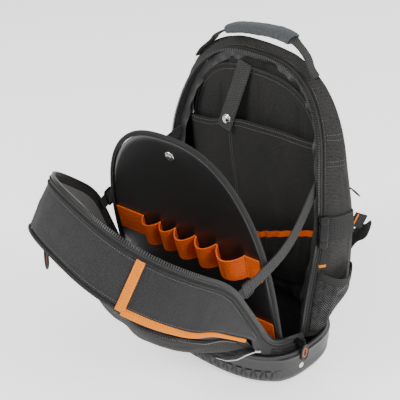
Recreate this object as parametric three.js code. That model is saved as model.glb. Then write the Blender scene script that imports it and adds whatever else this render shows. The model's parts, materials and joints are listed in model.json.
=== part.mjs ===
import * as THREE from 'three';
import { mergeVertices } from 'three/addons/utils/BufferGeometryUtils.js';

// Tool backpack, standing on its moulded base with the front flap laid open.
// Millimetres, +Z up, +X to the right of someone facing the bag, front towards -Y.
// The origin is on the floor under the middle of the bag's width.

// moulded base
const baseHalfWidth = 172;
const baseHalfDepth = 99;
const baseCentreY = -13;
const basePower = 2.9;
const baseHeight = 50;
const baseWall = 4;
const baseFloor = 6;
const baseEdgeRound = 14;
const baseLip = 5;

// cloth body
const footSink = 8;
const footZ = baseHeight - footSink;
const rimFootY = -9;
const rimInset = 25;
const rimHalfWidth = baseHalfWidth - rimInset;
const rimLength = 389;
const rimLean = 11.5;
const rimPower = 2.8;
const rimStraight = 143;
const bodyInset = 13;
const bodyHalfWidth = baseHalfWidth - bodyInset;
const bodyTop = 432;
const bodySlouch = 12;
const slouchFoot = 180;
const slouchRise = 120;
const bodyBackY = 86;
const wallSwell = 9;
const clothWall = 3;
const waistRise = 60;
const backPad = 14;
const backEdgePad = 3;

// zip
const zipWidth = 9;
const zipThick = 4;

// opened flap
const flapFootY = -12;
const flapFootLift = 5;
const flapFootZ = baseHeight + flapFootLift;
const flapInset = 18.5;
const flapHalfWidth = baseHalfWidth - flapInset;
const flapLength = 380;
const flapStraight = 124;
const flapPower = 3.1;
const flapTwist = 8.6;
const flapYaw = 3.6;
const flapSkew = -1.6;
const gussetDepth = 75;
const flapCloth = 2.6;
const panelCrown = 20;
const panelDraw = 0.06;
const pipingRadius = 2.4;

// stiff board inside the bag
const boardInset = 27;
const boardHalfWidth = baseHalfWidth - boardInset;
const boardHeight = 376;
const boardFootY = -45.7;
const boardTilt = 13.8;
const boardYaw = -5.5;
const boardPower = 2.5;
const boardStraight = 102;
const boardThick = 4;
const boardFootLift = 1.9;
const bindingWidth = 7;
const bindingThick = 6.4;

// elastic bands and pockets
const elasticWidth = 40;
const elasticThick = 2;
const loopRowHeight = 208;
const lowBandHeight = 85;
const studDrop = 32;
const studHeight = boardHeight - studDrop;
const pocketCloth = 2;
const pocketRoom = 10;
const innerPanelTop = 398;
const innerPanelInset = 24;
const innerPanelHidden = 60;
const bigPocketTop = 322;
const bigPocketBulge = 16;
const lowPocketTop = 192;
const lowPocketBulge = 34;
const lowPocketElastic = 9;

// webbing, handle and carrying straps
const webbingThick = 2;
const closureWidth = 27;
const stayWidth = 20;
const sliderBar = 4;
const handleHalfSpan = 92;
const handleWebbingWidth = 24;
const handleTop = 466;
const handleTilt = 6;
const gripLength = 118;
const gripRadius = 9;
const padWidth = 60;
const padThick = 11;
const padLength = 275;
const padStandOff = 26;
const tailWidth = 24;
const anchorRise = 18;

// right side
const sideStrapWidth = 34;
const sideStrapHeight = 210;
const claspForward = 14;
const claspHeight = 46;
const claspThick = 9;
const claspSink = 2.1;
const meshPocketTop = 146;
const meshPocketBulge = 15;
const meshHemWidth = 12;

// flap trim, front pocket, pulls and rivets
const bandWidth = 17;
const bandShare = 0.7;
const pocketBulge = 18;
const pullLength = 30;
const pullWidth = 17;
const pullThick = 3;
const zipEndForward = 12;
const sliderWidth = 8;
const sliderHeight = 5;
const sliderLift = 8;
const pullLift = 10;
const rivetRadius = 4.5;
const rivetHeight = 2.5;
const rivetY = -36;
const rivetDrop = 26;
const rivetZ = baseHeight - rivetDrop;
const snapRadius = 7;
const snapHeight = 4;

// clearances between pieces
const gap = 0.4;
const seamGap = 1.2;
const seatGap = 2.8;

const degree = Math.PI / 180;
const archCount = 36;
const flapArchCount = 48;

const vector = (x, y, z) => new THREE.Vector3(x, y, z);
const mix = (a, b, t) => a + (b - a) * t;
const clamp = (t) => Math.min(1, Math.max(0, t));
const smooth = (t) => clamp(t) * clamp(t) * (3 - 2 * clamp(t));
const steps = (count) => Array.from({ length: count + 1 }, (_, i) => i / count);

// reads a table of [place, value] rows at any place between them
function between(rows, place, column = 1) {
  if (place <= rows[0][0]) return rows[0][column];
  for (let i = 1; i < rows.length; i += 1) {
    if (place <= rows[i][0]) {
      const share = (place - rows[i - 1][0]) / (rows[i][0] - rows[i - 1][0]);
      return mix(rows[i - 1][column], rows[i][column], share);
    }
  }
  return rows[rows.length - 1][column];
}

// the soft body slouches to its right side as it rises
const slouchAt = (z) => bodySlouch * smooth((z - slouchFoot) / slouchRise);

function slouched(geometry) {
  const place = geometry.attributes.position;
  for (let i = 0; i < place.count; i += 1) place.setX(i, place.getX(i) - slouchAt(place.getZ(i)));
  return geometry;
}

// a closed solid from its triangles, turned so that the faces point out
function solid(points, faces) {
  let volume = 0;
  const kept = faces.filter(([a, b, c]) => {
    const [p, q, r] = [points[a], points[b], points[c]];
    return p.distanceTo(q) > 1e-4 && q.distanceTo(r) > 1e-4 && r.distanceTo(p) > 1e-4;
  });
  for (const [a, b, c] of kept) volume += points[a].dot(points[b].clone().cross(points[c]));
  const index = kept.flatMap(([a, b, c]) => (volume > 0 ? [a, b, c] : [a, c, b]));
  const geometry = new THREE.BufferGeometry();
  geometry.setAttribute('position', new THREE.Float32BufferAttribute(points.flatMap((p) => p.toArray()), 3));
  geometry.setIndex(index);
  return mergeVertices(geometry, 1e-3);
}

// a wall between two grids of points of the same size, closed along its four edges
function wall(front, back, ring = false) {
  const rows = front.length;
  const columns = front[0].length;
  const points = [...front.flat(), ...back.flat()];
  const offset = rows * columns;
  const at = (j, i) => j * columns + (i % columns);
  const faces = [];
  const quad = (a, b, c, d) => faces.push([a, b, c], [a, c, d]);
  const last = ring ? columns : columns - 1;
  for (let j = 0; j < rows - 1; j += 1) {
    for (let i = 0; i < last; i += 1) {
      quad(at(j, i), at(j, i + 1), at(j + 1, i + 1), at(j + 1, i));
      quad(offset + at(j, i), offset + at(j + 1, i), offset + at(j + 1, i + 1), offset + at(j, i + 1));
    }
    if (!ring) {
      quad(at(j, 0), at(j + 1, 0), offset + at(j + 1, 0), offset + at(j, 0));
      quad(at(j, last), offset + at(j, last), offset + at(j + 1, last), at(j + 1, last));
    }
  }
  for (let i = 0; i < last; i += 1) {
    quad(at(0, i), offset + at(0, i), offset + at(0, i + 1), at(0, i + 1));
    quad(at(rows - 1, i), at(rows - 1, i + 1), offset + at(rows - 1, i + 1), offset + at(rows - 1, i));
  }
  return solid(points, faces);
}

// direction square to a grid of points at one of its places
function squareTo(grid, j, i) {
  const rows = grid.length;
  const columns = grid[0].length;
  const across = grid[j][Math.min(i + 1, columns - 1)].clone().sub(grid[j][Math.max(i - 1, 0)]);
  const along = grid[Math.min(j + 1, rows - 1)][i].clone().sub(grid[Math.max(j - 1, 0)][i]);
  return across.cross(along).normalize();
}

// a cloth piece: a grid of points and the same grid moved along its own normals
function cloth(grid, thick) {
  const back = grid.map((row, j) => row.map((p, i) => p.clone().addScaledVector(squareTo(grid, j, i), thick)));
  return wall(grid, back);
}

// flat webbing: points along its middle, and the direction of its width at each
function webbing(path, sides, width, thick, count = 14) {
  const line = new THREE.CatmullRomCurve3(path, false, 'centripetal');
  const sideLine = new THREE.CatmullRomCurve3(sides.length > 1 ? sides : [sides[0], sides[0].clone()]);
  const grid = steps(count).map((t) => {
    const middle = line.getPoint(t);
    const side = sideLine.getPoint(t).normalize().multiplyScalar(width / 2);
    return [middle.clone().sub(side), middle.clone().add(side)];
  });
  const half = grid.map((row, j) => row.map((p) => {
    const normal = squareTo(grid, j, 0).multiplyScalar(thick / 2);
    return [p.clone().sub(normal), p.clone().add(normal)];
  }));
  return wall(half.map((row) => row.map((p) => p[0])), half.map((row) => row.map((p) => p[1])));
}

// a round cord along points
function cord(path, radius, sides, count, closed = false) {
  const section = new THREE.Shape();
  for (let k = 0; k < sides; k += 1) {
    const angle = (2 * Math.PI * k) / sides;
    if (k === 0) section.moveTo(radius, 0);
    else section.lineTo(radius * Math.cos(angle), radius * Math.sin(angle));
  }
  const line = new THREE.CatmullRomCurve3(path, closed, 'centripetal');
  return new THREE.ExtrudeGeometry(section, { steps: count, extrudePath: line, bevelEnabled: false });
}

// arch outline from its right foot over the top to its left foot, as [x, height] pairs
function arch(halfWidth, height, straight, power, count = archCount) {
  return steps(count).map((t) => {
    const side = t <= 0.5 ? 1 : -1;
    const run = 1 - Math.abs(2 * t - 1);
    const straightRun = 0.3;
    if (run < straightRun) return [side * halfWidth, (straight * run) / straightRun];
    const angle = ((run - straightRun) / (1 - straightRun)) * (Math.PI / 2);
    const x = halfWidth * Math.pow(Math.max(Math.cos(angle), 0), 2 / power);
    return [t === 0.5 ? 0 : side * x, straight + (height - straight) * Math.pow(Math.sin(angle), 2 / power)];
  });
}

// one row of an arch moved outwards or inwards in its own plane
function grownArch(halfWidth, height, straight, power, grow, count = archCount) {
  return arch(halfWidth + grow, height + grow, straight, power, count);
}

// outline of the base at an angle, drawn in by an inset
function baseOutline(angle, inset) {
  const c = Math.cos(angle);
  const s = Math.sin(angle);
  const x = (baseHalfWidth - inset) * Math.sign(c) * Math.pow(Math.abs(c), 2 / basePower);
  const y = (baseHalfDepth - inset) * Math.sign(s) * Math.pow(Math.abs(s), 2 / basePower);
  return [x, baseCentreY + y];
}

// a point over the base is brought to the base's outline by a share
function seatOnBase(point, inset, share) {
  const x = Math.abs(point.x) / (baseHalfWidth - inset);
  const y = Math.abs(point.y - baseCentreY) / (baseHalfDepth - inset);
  const scale = Math.pow(Math.pow(x, basePower) + Math.pow(y, basePower), -1 / basePower);
  const amount = mix(1, scale, share);
  return vector(point.x * amount, baseCentreY + (point.y - baseCentreY) * amount, point.z);
}

// the base is a tub whose outline is the same all the way up, with a rounded lower edge
function baseTub() {
  const rows = [
    // height, inset
    [0, baseEdgeRound * 0.9],
    [baseEdgeRound * 0.12, baseEdgeRound * 0.45],
    [baseEdgeRound * 0.45, baseEdgeRound * 0.12],
    [baseEdgeRound, 0],
    [baseHeight - baseLip, 0],
    [baseHeight, baseWall * 0.3],
    [baseHeight, baseWall],
    [baseFloor + baseEdgeRound, baseWall],
    [baseFloor, baseWall + baseEdgeRound * 0.6],
  ];
  const count = 56;
  const rings = rows.map(([z, inset]) => {
    return steps(count - 1).map((t) => {
      const [x, y] = baseOutline((2 * Math.PI * t * (count - 1)) / count, inset);
      return vector(x, y, z);
    });
  });
  const points = [...rings.flat(), vector(0, baseCentreY, 0), vector(0, baseCentreY, baseFloor)];
  const under = rings.length * count;
  const faces = [];
  for (let i = 0; i < count; i += 1) {
    const next = (i + 1) % count;
    faces.push([under, next, i]);
    for (let j = 0; j < rings.length - 1; j += 1) {
      const [a, b] = [j * count + i, j * count + next];
      faces.push([a, b, b + count], [a, b + count, a + count]);
    }
    const top = (rings.length - 1) * count;
    faces.push([under + 1, top + i, top + next]);
  }
  return solid(points, faces);
}

// a row of the cloth body: 0 is the edge of the opening and 1 the edge of the back
function bodyRow(depth, swell, seat, grow = 0, setBack = 0) {
  const lean = rimLean * degree;
  const rim = grownArch(rimHalfWidth, rimLength, rimStraight, rimPower, grow);
  const back = grownArch(bodyHalfWidth, bodyTop - footZ, rimStraight, rimPower, grow);
  return rim.map(([x, v], i) => {
    const front = vector(x, rimFootY + setBack + v * Math.sin(lean), footZ + v * Math.cos(lean));
    const rear = vector(back[i][0], bodyBackY, footZ + back[i][1]);
    const point = front.lerp(rear, depth);
    const out = vector(point.x / bodyHalfWidth, 0, clamp((v - rimStraight) / rimLength)).normalize();
    point.addScaledVector(out, swell * wallSwell);
    const low = 1 - smooth((point.z - baseHeight) / waistRise);
    return seatOnBase(point, baseWall + seatGap - grow, low * seat);
  });
}

const bodyRows = [
  // depth, swell, seat
  [0, 0, 0.1],
  [0.25, 0.75, 0.75],
  [0.55, 1, 1],
  [0.85, 0.8, 1],
  [1, 0.1, 1],
];

// side and top of the body, from the zip to the edge of the back
function bodyWall() {
  const setBack = zipWidth + gap;
  const outer = bodyRows.map(([depth, swell, seat]) => bodyRow(depth, swell, seat, 0, setBack));
  const inner = bodyRows.map(([depth, swell, seat]) => bodyRow(depth, swell, seat, -clothWall, setBack));
  return wall(outer, inner);
}

function bodyZip() {
  const rows = [0, zipWidth].map((setBack) => ({
    outer: bodyRow(0, 0, 0.1, (zipThick - clothWall) / 2, setBack),
    inner: bodyRow(0, 0, 0.1, (zipThick - clothWall) / 2 - zipThick, setBack),
  }));
  return wall(rows.map((row) => row.outer), rows.map((row) => row.inner));
}

// padded back: rows drawn in from the back edge of the cloth wall to the middle of its foot
const backShares = [1, 0.86, 0.6, 0.3, 0];

function backRow(share, grow) {
  const edge = bodyRow(1, bodyRows[bodyRows.length - 1][1], 0, grow);
  return edge.map((point) => {
    const inside = vector(point.x * share, bodyBackY, footZ + (point.z - footZ) * share);
    const low = 1 - smooth((inside.z - baseHeight) / waistRise);
    return seatOnBase(inside, baseWall + seatGap + clothWall + gap, low);
  });
}

function backPanel() {
  const outer = backShares.map((share) => backRow(share, -clothWall - gap));
  const pads = [backEdgePad, ...outer.slice(1).map(() => backPad)];
  const inner = outer.map((row, j) => row.map((p) => vector(p.x, p.y - pads[j], p.z)));
  return wall(outer, inner);
}

// how far the waist over the base draws the back forward at a height
function backDraw(z) {
  const low = 1 - smooth((z - baseHeight) / waistRise);
  return low * (bodyBackY - baseCentreY - baseHalfDepth + baseWall + seatGap + clothWall);
}

// a cloth panel standing in front of the back: top edge, half width and bulge at each place across it
function pocketSheet(columns, foot, thick, rowShares, count = 16) {
  const grid = rowShares.map(([up, bulgeShare, widthShare]) => steps(count).map((t) => {
    const { x, top, y, bulge } = columns(t);
    const z = mix(foot, top, up);
    const out = bulge * bulgeShare * Math.sin(Math.PI * t) ** 0.5;
    return vector(x * widthShare, y - backDraw(z) - out, z);
  }));
  return wall(grid, grid.map((row) => row.map((p) => vector(p.x, p.y - thick, p.z))));
}

const backFaceY = bodyBackY - backPad;
const innerHalfWidth = bodyHalfWidth - clothWall - pocketRoom;

// half width of the room inside the body at a height
function roomHalfWidth(z) {
  const rise = clamp((z - footZ - rimStraight) / (bodyTop - footZ - rimStraight));
  return innerHalfWidth * Math.pow(1 - Math.pow(rise, rimPower), 1 / rimPower);
}

function innerPanel() {
  const shape = new THREE.Shape();
  const half = rimHalfWidth - innerPanelInset;
  const foot = bigPocketTop - innerPanelHidden;
  arch(half, innerPanelTop - foot, 0, 2.4, 20).forEach(([x, v], i) => {
    if (i === 0) shape.moveTo(x, v);
    else shape.lineTo(x, v);
  });
  shape.closePath();
  const plate = new THREE.ExtrudeGeometry(shape, { depth: pocketCloth, bevelEnabled: false });
  plate.rotateX(Math.PI / 2);
  plate.translate(0, backFaceY - gap, foot);
  return plate;
}

const pocketFoot = baseHeight + waistRise / 2;
const bigPocketEdge = [
  // share across, height as a share of the pocket's top
  [0, 0.915],
  [0.2, 0.94],
  [0.45, 1],
  [0.75, 1.012],
  [1, 1],
];

function bigPocket() {
  const half = roomHalfWidth(bigPocketTop) - 4;
  const columns = (t) => ({
    x: mix(-half, half, t),
    top: bigPocketTop * between(bigPocketEdge, t),
    y: backFaceY - pocketCloth - 3 * gap,
    bulge: bigPocketBulge,
  });
  return pocketSheet(columns, pocketFoot, pocketCloth, [[0, 0, 0.72], [0.2, 0.5, 0.95], [0.7, 0.9, 1], [1, 1, 1]]);
}

const lowPocketEdge = [
  // share across, height as a share of the pocket's top
  [0, 0.86],
  [0.5, 0.8],
  [0.72, 0.9],
  [1, 1.02],
];

function lowPocketColumns(t) {
  const half = roomHalfWidth(lowPocketTop) - 2;
  return {
    x: mix(-half, half, t),
    top: lowPocketTop * between(lowPocketEdge, t),
    y: backFaceY - 2 * pocketCloth - 4 * gap,
    bulge: lowPocketBulge,
  };
}

function lowPocket() {
  const columns = (t) => {
    const column = lowPocketColumns(t);
    return { ...column, top: column.top - lowPocketElastic - gap };
  };
  return pocketSheet(columns, pocketFoot, pocketCloth, [[0, 0.3, 0.66], [0.3, 0.7, 0.86], [1, 1, 1]]);
}

function lowPocketBand() {
  const rows = [0, 1].map((up) => steps(16).map((t) => {
    const { x, top, y, bulge } = lowPocketColumns(t);
    return vector(x, y - bulge * Math.sin(Math.PI * t) ** 0.5, top - (1 - up) * lowPocketElastic);
  }));
  return wall(rows, rows.map((row) => row.map((p) => vector(p.x, p.y - elasticThick, p.z))));
}

// webbing strap that hangs from the top of the opening over the big pocket
const closurePath = [
  // x, y in front of the back, height
  [-21, 3, 404],
  [-26, 7, 380],
  [-34, 17, 340],
  [-41, 27, 302],
];

const closurePoints = closurePath.map(([x, out, z]) => vector(x, backFaceY - out, z));

function closureStrap() {
  return webbing(closurePoints, [vector(1, 0, 0.16)], closureWidth, webbingThick, 8);
}

function stud(radius, height, sides = 12) {
  return new THREE.CylinderGeometry(radius * 0.8, radius, height, sides);
}

// lean of the open flap from upright, along its length
const flapProfile = [
  // share of the length, lean in degrees
  [0, 70.8],
  [0.115, 70.8],
  [0.235, 25.9],
  [0.51, 25.9],
  [0.66, 52.8],
  [1, 52.8],
];

// depth of the flap's side band along its length, as a share of the full depth
const gussetProfile = [
  // share of the length, share of the depth
  [0, 0.06],
  [0.18, 0.06],
  [0.58, 1],
  [1, 1],
];

const profileSteps = 120;
const profileLine = (() => {
  const line = [{ y: flapFootY, z: flapFootZ, lean: flapProfile[0][1] * degree }];
  for (let k = 1; k <= profileSteps; k += 1) {
    const lean = between(flapProfile, k / profileSteps) * degree;
    const last = line[k - 1];
    const step = flapLength / profileSteps;
    line.push({ y: last.y - Math.sin(lean) * step, z: last.z + Math.cos(lean) * step, lean });
  }
  return line;
})();

// the open flap at one place of its arch: rim, outward direction and the band's depth
function flapAt([x, v]) {
  const share = v / flapLength;
  const place = clamp(share) * profileSteps;
  const low = profileLine[Math.floor(place)];
  const high = profileLine[Math.min(profileSteps, Math.floor(place) + 1)];
  const part = place - Math.floor(place);
  const lean = mix(low.lean, high.lean, part);
  const out = vector(0, -Math.cos(lean), -Math.sin(lean));
  const turn = flapTwist * degree * share;
  const flat = x * Math.cos(turn);
  const rim = vector(
    flat + v * Math.sin(flapSkew * degree) * share,
    mix(low.y, high.y, part) - flat * Math.sin(flapYaw * degree * share),
    mix(low.z, high.z, part),
  ).addScaledVector(out, x * Math.sin(turn));
  return { rim, out, share, depth: gussetDepth * between(gussetProfile, share) };
}

const flapFoldShare = 0.18;
const flapCornerShare = 0.29;
const panelFirstShare = 0.28;
const flapArch = arch(flapHalfWidth, flapLength, flapStraight, flapPower, flapArchCount);

// the seam between the side band and the front; near the hinge it lies on the edge of the base
function flapSeam(place) {
  const { rim, out, share, depth } = flapAt(place);
  const seam = rim.clone().addScaledVector(out, depth);
  const inset = baseWall + 0.7 * seatGap + flapCloth / 2;
  const reach = Math.abs(rim.y - baseCentreY) / (baseHalfDepth - inset);
  const edgeX = (baseHalfWidth - inset) * Math.pow(1 - clamp(reach) ** basePower, 1 / basePower);
  const edge = vector(Math.sign(place[0]) * edgeX, Math.max(rim.y, baseCentreY - baseHalfDepth + inset), footZ);
  const free = smooth((share - flapFoldShare) / (flapCornerShare - flapFoldShare));
  return edge.lerp(seam, free);
}

function flapStrip(places, from, to, thick, shift) {
  const rows = [0, 1].map((end) => places.map((place) => {
    const { rim } = flapAt(place);
    const seam = flapSeam(place);
    const length = rim.distanceTo(seam);
    const along = end === 0 ? from : to;
    return rim.clone().lerp(seam, (along < 0 ? length + along : along) / length);
  }));
  const normal = (j, i) => squareTo(rows, j, i);
  const front = rows.map((row, j) => row.map((p, i) => p.clone().addScaledVector(normal(j, i), shift)));
  const back = rows.map((row, j) => row.map((p, i) => p.clone().addScaledVector(normal(j, i), shift - thick)));
  return wall(front, back);
}

const flapZip = () => flapStrip(flapArch, 0, zipWidth, zipThick, (zipThick - flapCloth) / 2);
const pipingRoom = pipingRadius + seamGap + gap;
const flapGusset = () => flapStrip(flapArch, zipWidth + gap, -pipingRoom, flapCloth, 0);

// the front of the flap, from the hinge on the base to the seam
const panelFirst = flapArch.findIndex(([, v]) => v / flapLength > panelFirstShare);
const panelArch = flapArch.slice(panelFirst, flapArch.length - panelFirst);
const hingeAngle = 46;

// a place on the flap's arch moved towards the inside of the arch
function drawnIn([x, v], room) {
  const rise = clamp((v - flapStraight) / (flapLength - flapStraight));
  const side = Math.pow(Math.abs(x) / flapHalfWidth, flapPower - 1) / flapHalfWidth;
  const up = Math.pow(rise, flapPower - 1) / (flapLength - flapStraight);
  const size = Math.hypot(side, up);
  return [x - (Math.sign(x) * room * side) / size, v - (room * up) / size];
}

const panelRows = [
  // share of the way to the seam, crown
  [0, 0],
  [0.06, 0.25],
  [0.2, 0.75],
  [0.45, 1],
  [0.75, 0.7],
  [1, 0],
];

function panelPoint(place, t, share, crown) {
  const angle = -mix(hingeAngle, 180 - hingeAngle, t) * degree;
  const [x, y] = baseOutline(angle, baseWall + seatGap);
  const hinge = vector(x, y, baseHeight + seamGap + flapCloth);
  const seam = flapSeam(drawnIn(place, pipingRoom - 2 * gap));
  const { out } = flapAt(place);
  const point = hinge.lerp(seam, share);
  point.x *= 1 - panelDraw * 4 * share * (1 - share);
  const middle = Math.sin(Math.PI * clamp(t)) ** 1.4;
  return point.addScaledVector(out, crown * panelCrown * middle);
}

function panelGrid(rows) {
  return rows.map(([share, crown]) => panelArch.map((place, i) => {
    return panelPoint(place, i / (panelArch.length - 1), share, crown);
  }));
}

function flapPanel() {
  const grid = panelGrid(panelRows);
  const outer = [grid[0].map((p) => vector(p.x, p.y, footZ)), ...grid];
  const inward = panelArch.map((place) => flapAt(place).out.multiplyScalar(-flapCloth));
  return wall(outer, outer.map((row) => row.map((p, i) => p.clone().add(inward[i]))));
}

// bulging pocket low on the front of the flap
const pocketRows = [
  // share of the way to the seam, bulge
  [0.1, 0],
  [0.2, 0.85],
  [0.33, 1],
  [0.45, 0.75],
  [0.56, 0],
];

function pocketGrid(stand) {
  const from = 3;
  const places = panelArch.slice(from, panelArch.length - from);
  return pocketRows.map(([share, bulge]) => places.map((place, i) => {
    const t = (i + from) / (panelArch.length - 1);
    const edge = Math.sin((Math.PI * i) / (places.length - 1)) ** 0.6;
    const lift = (stand + bulge * edge * pocketBulge) / panelCrown;
    return panelPoint(place, t, share, between(panelRows, share) + lift);
  }));
}

function frontPocket() {
  return wall(pocketGrid(2.5 * seamGap + pocketCloth), pocketGrid(2.5 * seamGap));
}

// webbing sewn across the flap's side band on its right shoulder
function flapBand() {
  const after = flapArch.findIndex(([x, v]) => v > flapStraight && x < bandShare * flapHalfWidth);
  const [a, b] = [flapArch[after - 1], flapArch[after]];
  const half = bandWidth / 2 / Math.hypot(b[0] - a[0], b[1] - a[1]);
  const places = [0.5 - half, 0.5 + half].map((t) => [mix(a[0], b[0], t), mix(a[1], b[1], t)]);
  return flapStrip(places, zipWidth + gap, -pipingRoom, webbingThick, webbingThick + 2 * gap);
}

const bandPlace = flapArch.findIndex(([x, v]) => v > flapStraight && x < bandShare * flapHalfWidth);

function pipingAlong(from, to) {
  const places = flapArch.slice(from, to + 1).map(flapSeam);
  return cord(places, pipingRadius, 6, (to - from) * 2);
}

// stiff board: foot on the floor of the base, leaning forward
function placeBoard(geometry) {
  geometry.rotateX(Math.PI / 2);
  geometry.rotateX(boardTilt * degree);
  geometry.rotateZ(-boardYaw * degree);
  geometry.translate(0, boardFootY, baseFloor + boardFootLift);
  return geometry;
}

const boardLine = (inset) => arch(boardHalfWidth - inset, boardHeight - inset, boardStraight, boardPower, 32);

function dividerBoard() {
  const shape = new THREE.Shape(boardLine(bindingWidth + gap).map(([x, v]) => new THREE.Vector2(x, v)));
  const board = new THREE.ExtrudeGeometry(shape, { depth: boardThick, bevelEnabled: false });
  board.translate(0, 0, (bindingThick - boardThick) / 2);
  return placeBoard(board);
}

function boardBinding() {
  const line = [...boardLine(0), ...boardLine(bindingWidth).reverse()];
  const shape = new THREE.Shape(line.map(([x, v]) => new THREE.Vector2(x, v)));
  return placeBoard(new THREE.ExtrudeGeometry(shape, { depth: bindingThick, bevelEnabled: false }));
}

const boardFaceOut = boardThick + (bindingThick - boardThick) / 2 + gap;

// elastic across the board that stands off in loops
const loopTable = [
  // left, right, stand-off, all as shares of the board's half width and the elastic's width
  [-0.59, -0.36, 0.34],
  [-0.34, -0.14, 0.32],
  [-0.12, 0.13, 0.4],
  [0.17, 0.42, 0.4],
  [0.46, 0.8, 0.5],
];

function elasticBand(height, table) {
  const outline = [[-1, 0]];
  for (const [left, right, off] of table) {
    outline.push([left - 0.02, 0], [mix(left, right, 0.12), off * 0.75], [mix(left, right, 0.5), off]);
    outline.push([mix(left, right, 0.88), off * 0.75], [right + 0.02, 0]);
  }
  outline.push([1, 0]);
  const line = outline.map(([share, off]) => [share * boardReach(height), off * elasticWidth]);
  const row = (low, lift) => line.map(([x, off]) => vector(x, low, boardFaceOut + off + lift));
  const rows = [height - elasticWidth, height];
  return placeBoard(wall(rows.map((low) => row(low, elasticThick)), rows.map((low) => row(low, 0))));
}

// half width of the board inside its binding at a height
function boardReach(height) {
  const rise = clamp((height - boardStraight) / (boardHeight - boardStraight));
  return boardHalfWidth * Math.pow(1 - Math.pow(rise, boardPower), 1 / boardPower) - bindingWidth - 3;
}

// a point on the outside of the body's wall at a depth and a height, on the right side
function wallPoint(depth, z, lift) {
  const swell = between(bodyRows, depth);
  const seat = between(bodyRows, depth, 2);
  const setBack = zipWidth + gap;
  const row = bodyRow(depth, swell, seat, 0, setBack).slice(0, archCount / 2);
  const rows = row.map((p) => [p.z, p.x, p.y]);
  return vector(between(rows, z, 1) + lift, between(rows, z, 2), z);
}

// cloth that lies on the right side of the body, lifted off it by a bulge
function sidePatch(depths, heights, lift, thick) {
  const grid = (extra) => heights.map((height) => depths.map((depth, i) => {
    const t = i / (depths.length - 1);
    return wallPoint(depth, height(t), lift(t, height) + extra);
  }));
  return wall(grid(thick), grid(0));
}

const patchDepths = (from, to, count) => steps(count).map((t) => mix(from, to, t));

const strapHalf = sideStrapWidth / 2;

function sideStrap() {
  const heights = [-strapHalf, strapHalf].map((half) => () => sideStrapHeight + half);
  return sidePatch(patchDepths(0, 1, 5), heights, () => 1.5 * seamGap, webbingThick);
}

function sideClasp() {
  const heights = [-0.5, -0.38, 0.38, 0.5].map((share) => () => sideStrapHeight + share * claspHeight);
  const clasp = sidePatch([0, 0.07, 0.19, 0.26], heights, () => -claspSink, claspThick);
  return clasp.translate(0, -claspForward, 0);
}

function sideWebbing() {
  const top = sideStrapHeight - claspHeight / 2 - gap;
  const heights = [meshPocketTop + 6, top].map((z) => () => z);
  return sidePatch([0.02, 0.14], heights, () => seamGap, webbingThick);
}

const tabLength = 14;

function sideTab() {
  const root = wallPoint(1, sideStrapHeight, seamGap + webbingThick / 2).add(vector(0, seamGap, 0));
  const middle = root.clone().add(vector(tabLength * 0.4, tabLength * 0.45, -strapHalf * 0.2));
  const end = root.clone().add(vector(tabLength * 0.7, tabLength * 0.9, -strapHalf * 0.4));
  return webbing([root, middle, end], [vector(0, 0, 1)], sideStrapWidth * 0.8, webbingThick, 4);
}

const meshFoot = baseHeight + 2 * seamGap;
const meshDepths = patchDepths(0.02, 0.86, 8);
const meshSag = (t) => 0.12 * Math.sin(Math.PI * t);
const meshTopAt = (t) => mix(meshFoot, meshPocketTop, 1 - meshSag(t));
const meshBulge = (t, up) => 2.5 * seamGap + meshPocketBulge * Math.sin(Math.PI * t) ** 0.7 * Math.sin((Math.PI / 2) * up) ** 0.8;

function meshRows(from, to, shares) {
  return shares.map((share) => (t) => mix(from(t), to(t), share));
}

function meshLift(t, height) {
  return meshBulge(t, clamp((height(t) - meshFoot) / (meshTopAt(t) - meshFoot)));
}

function meshPocket() {
  const top = (t) => meshTopAt(t) - meshHemWidth - gap;
  return sidePatch(meshDepths, meshRows(() => meshFoot, top, [0, 0.12, 0.3, 0.45, 0.6, 0.8, 1]), meshLift, pocketCloth);
}

function meshHem() {
  const foot = (t) => meshTopAt(t) - meshHemWidth;
  return sidePatch(meshDepths, meshRows(foot, meshTopAt, [0, 1]), meshLift, pocketCloth + seamGap / 2);
}

// carrying handle: webbing over the top, through a padded grip
function topPoint(x, lift) {
  const setBack = zipWidth + gap;
  const row = bodyRow(0.85, 0.8, 1, 0, setBack).slice(0, archCount / 2 + 1).reverse();
  const rows = row.map((p) => [p.x, p.z, p.y]);
  return vector(x, bodyBackY - handleWebbingWidth / 2 + 4, between(rows, x, 1) + lift);
}

const gripZ = handleTop - gripRadius;
const gripHalf = gripLength / 2;

const handleRise = [
  // share of the half span, share of the rise from the body to the grip
  [0.93, 0.3],
  [0.76, 0.68],
  [0.6, 0.9],
  [0.4, 0.99],
  [0, 1],
];

const handlePath = (() => {
  const lift = webbingThick + seamGap;
  const foot = topPoint(handleHalfSpan, lift);
  const low = topPoint(handleHalfSpan * 1.1, lift);
  const right = handleRise.map(([x, up]) => vector(x * handleHalfSpan, foot.y, mix(foot.z, gripZ, up)));
  const half = [low, foot, ...right];
  const left = half.slice(0, -1).reverse().map((p) => vector(-p.x, p.y, p.z));
  const rise = (z) => clamp((z - foot.z) / (gripZ - foot.z));
  return [...half, ...left].map((p) => p.setZ(p.z + p.x * Math.tan(handleTilt * degree) * rise(p.z)));
})();

const handleLine = new THREE.CatmullRomCurve3(handlePath, false, 'centripetal');

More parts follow.
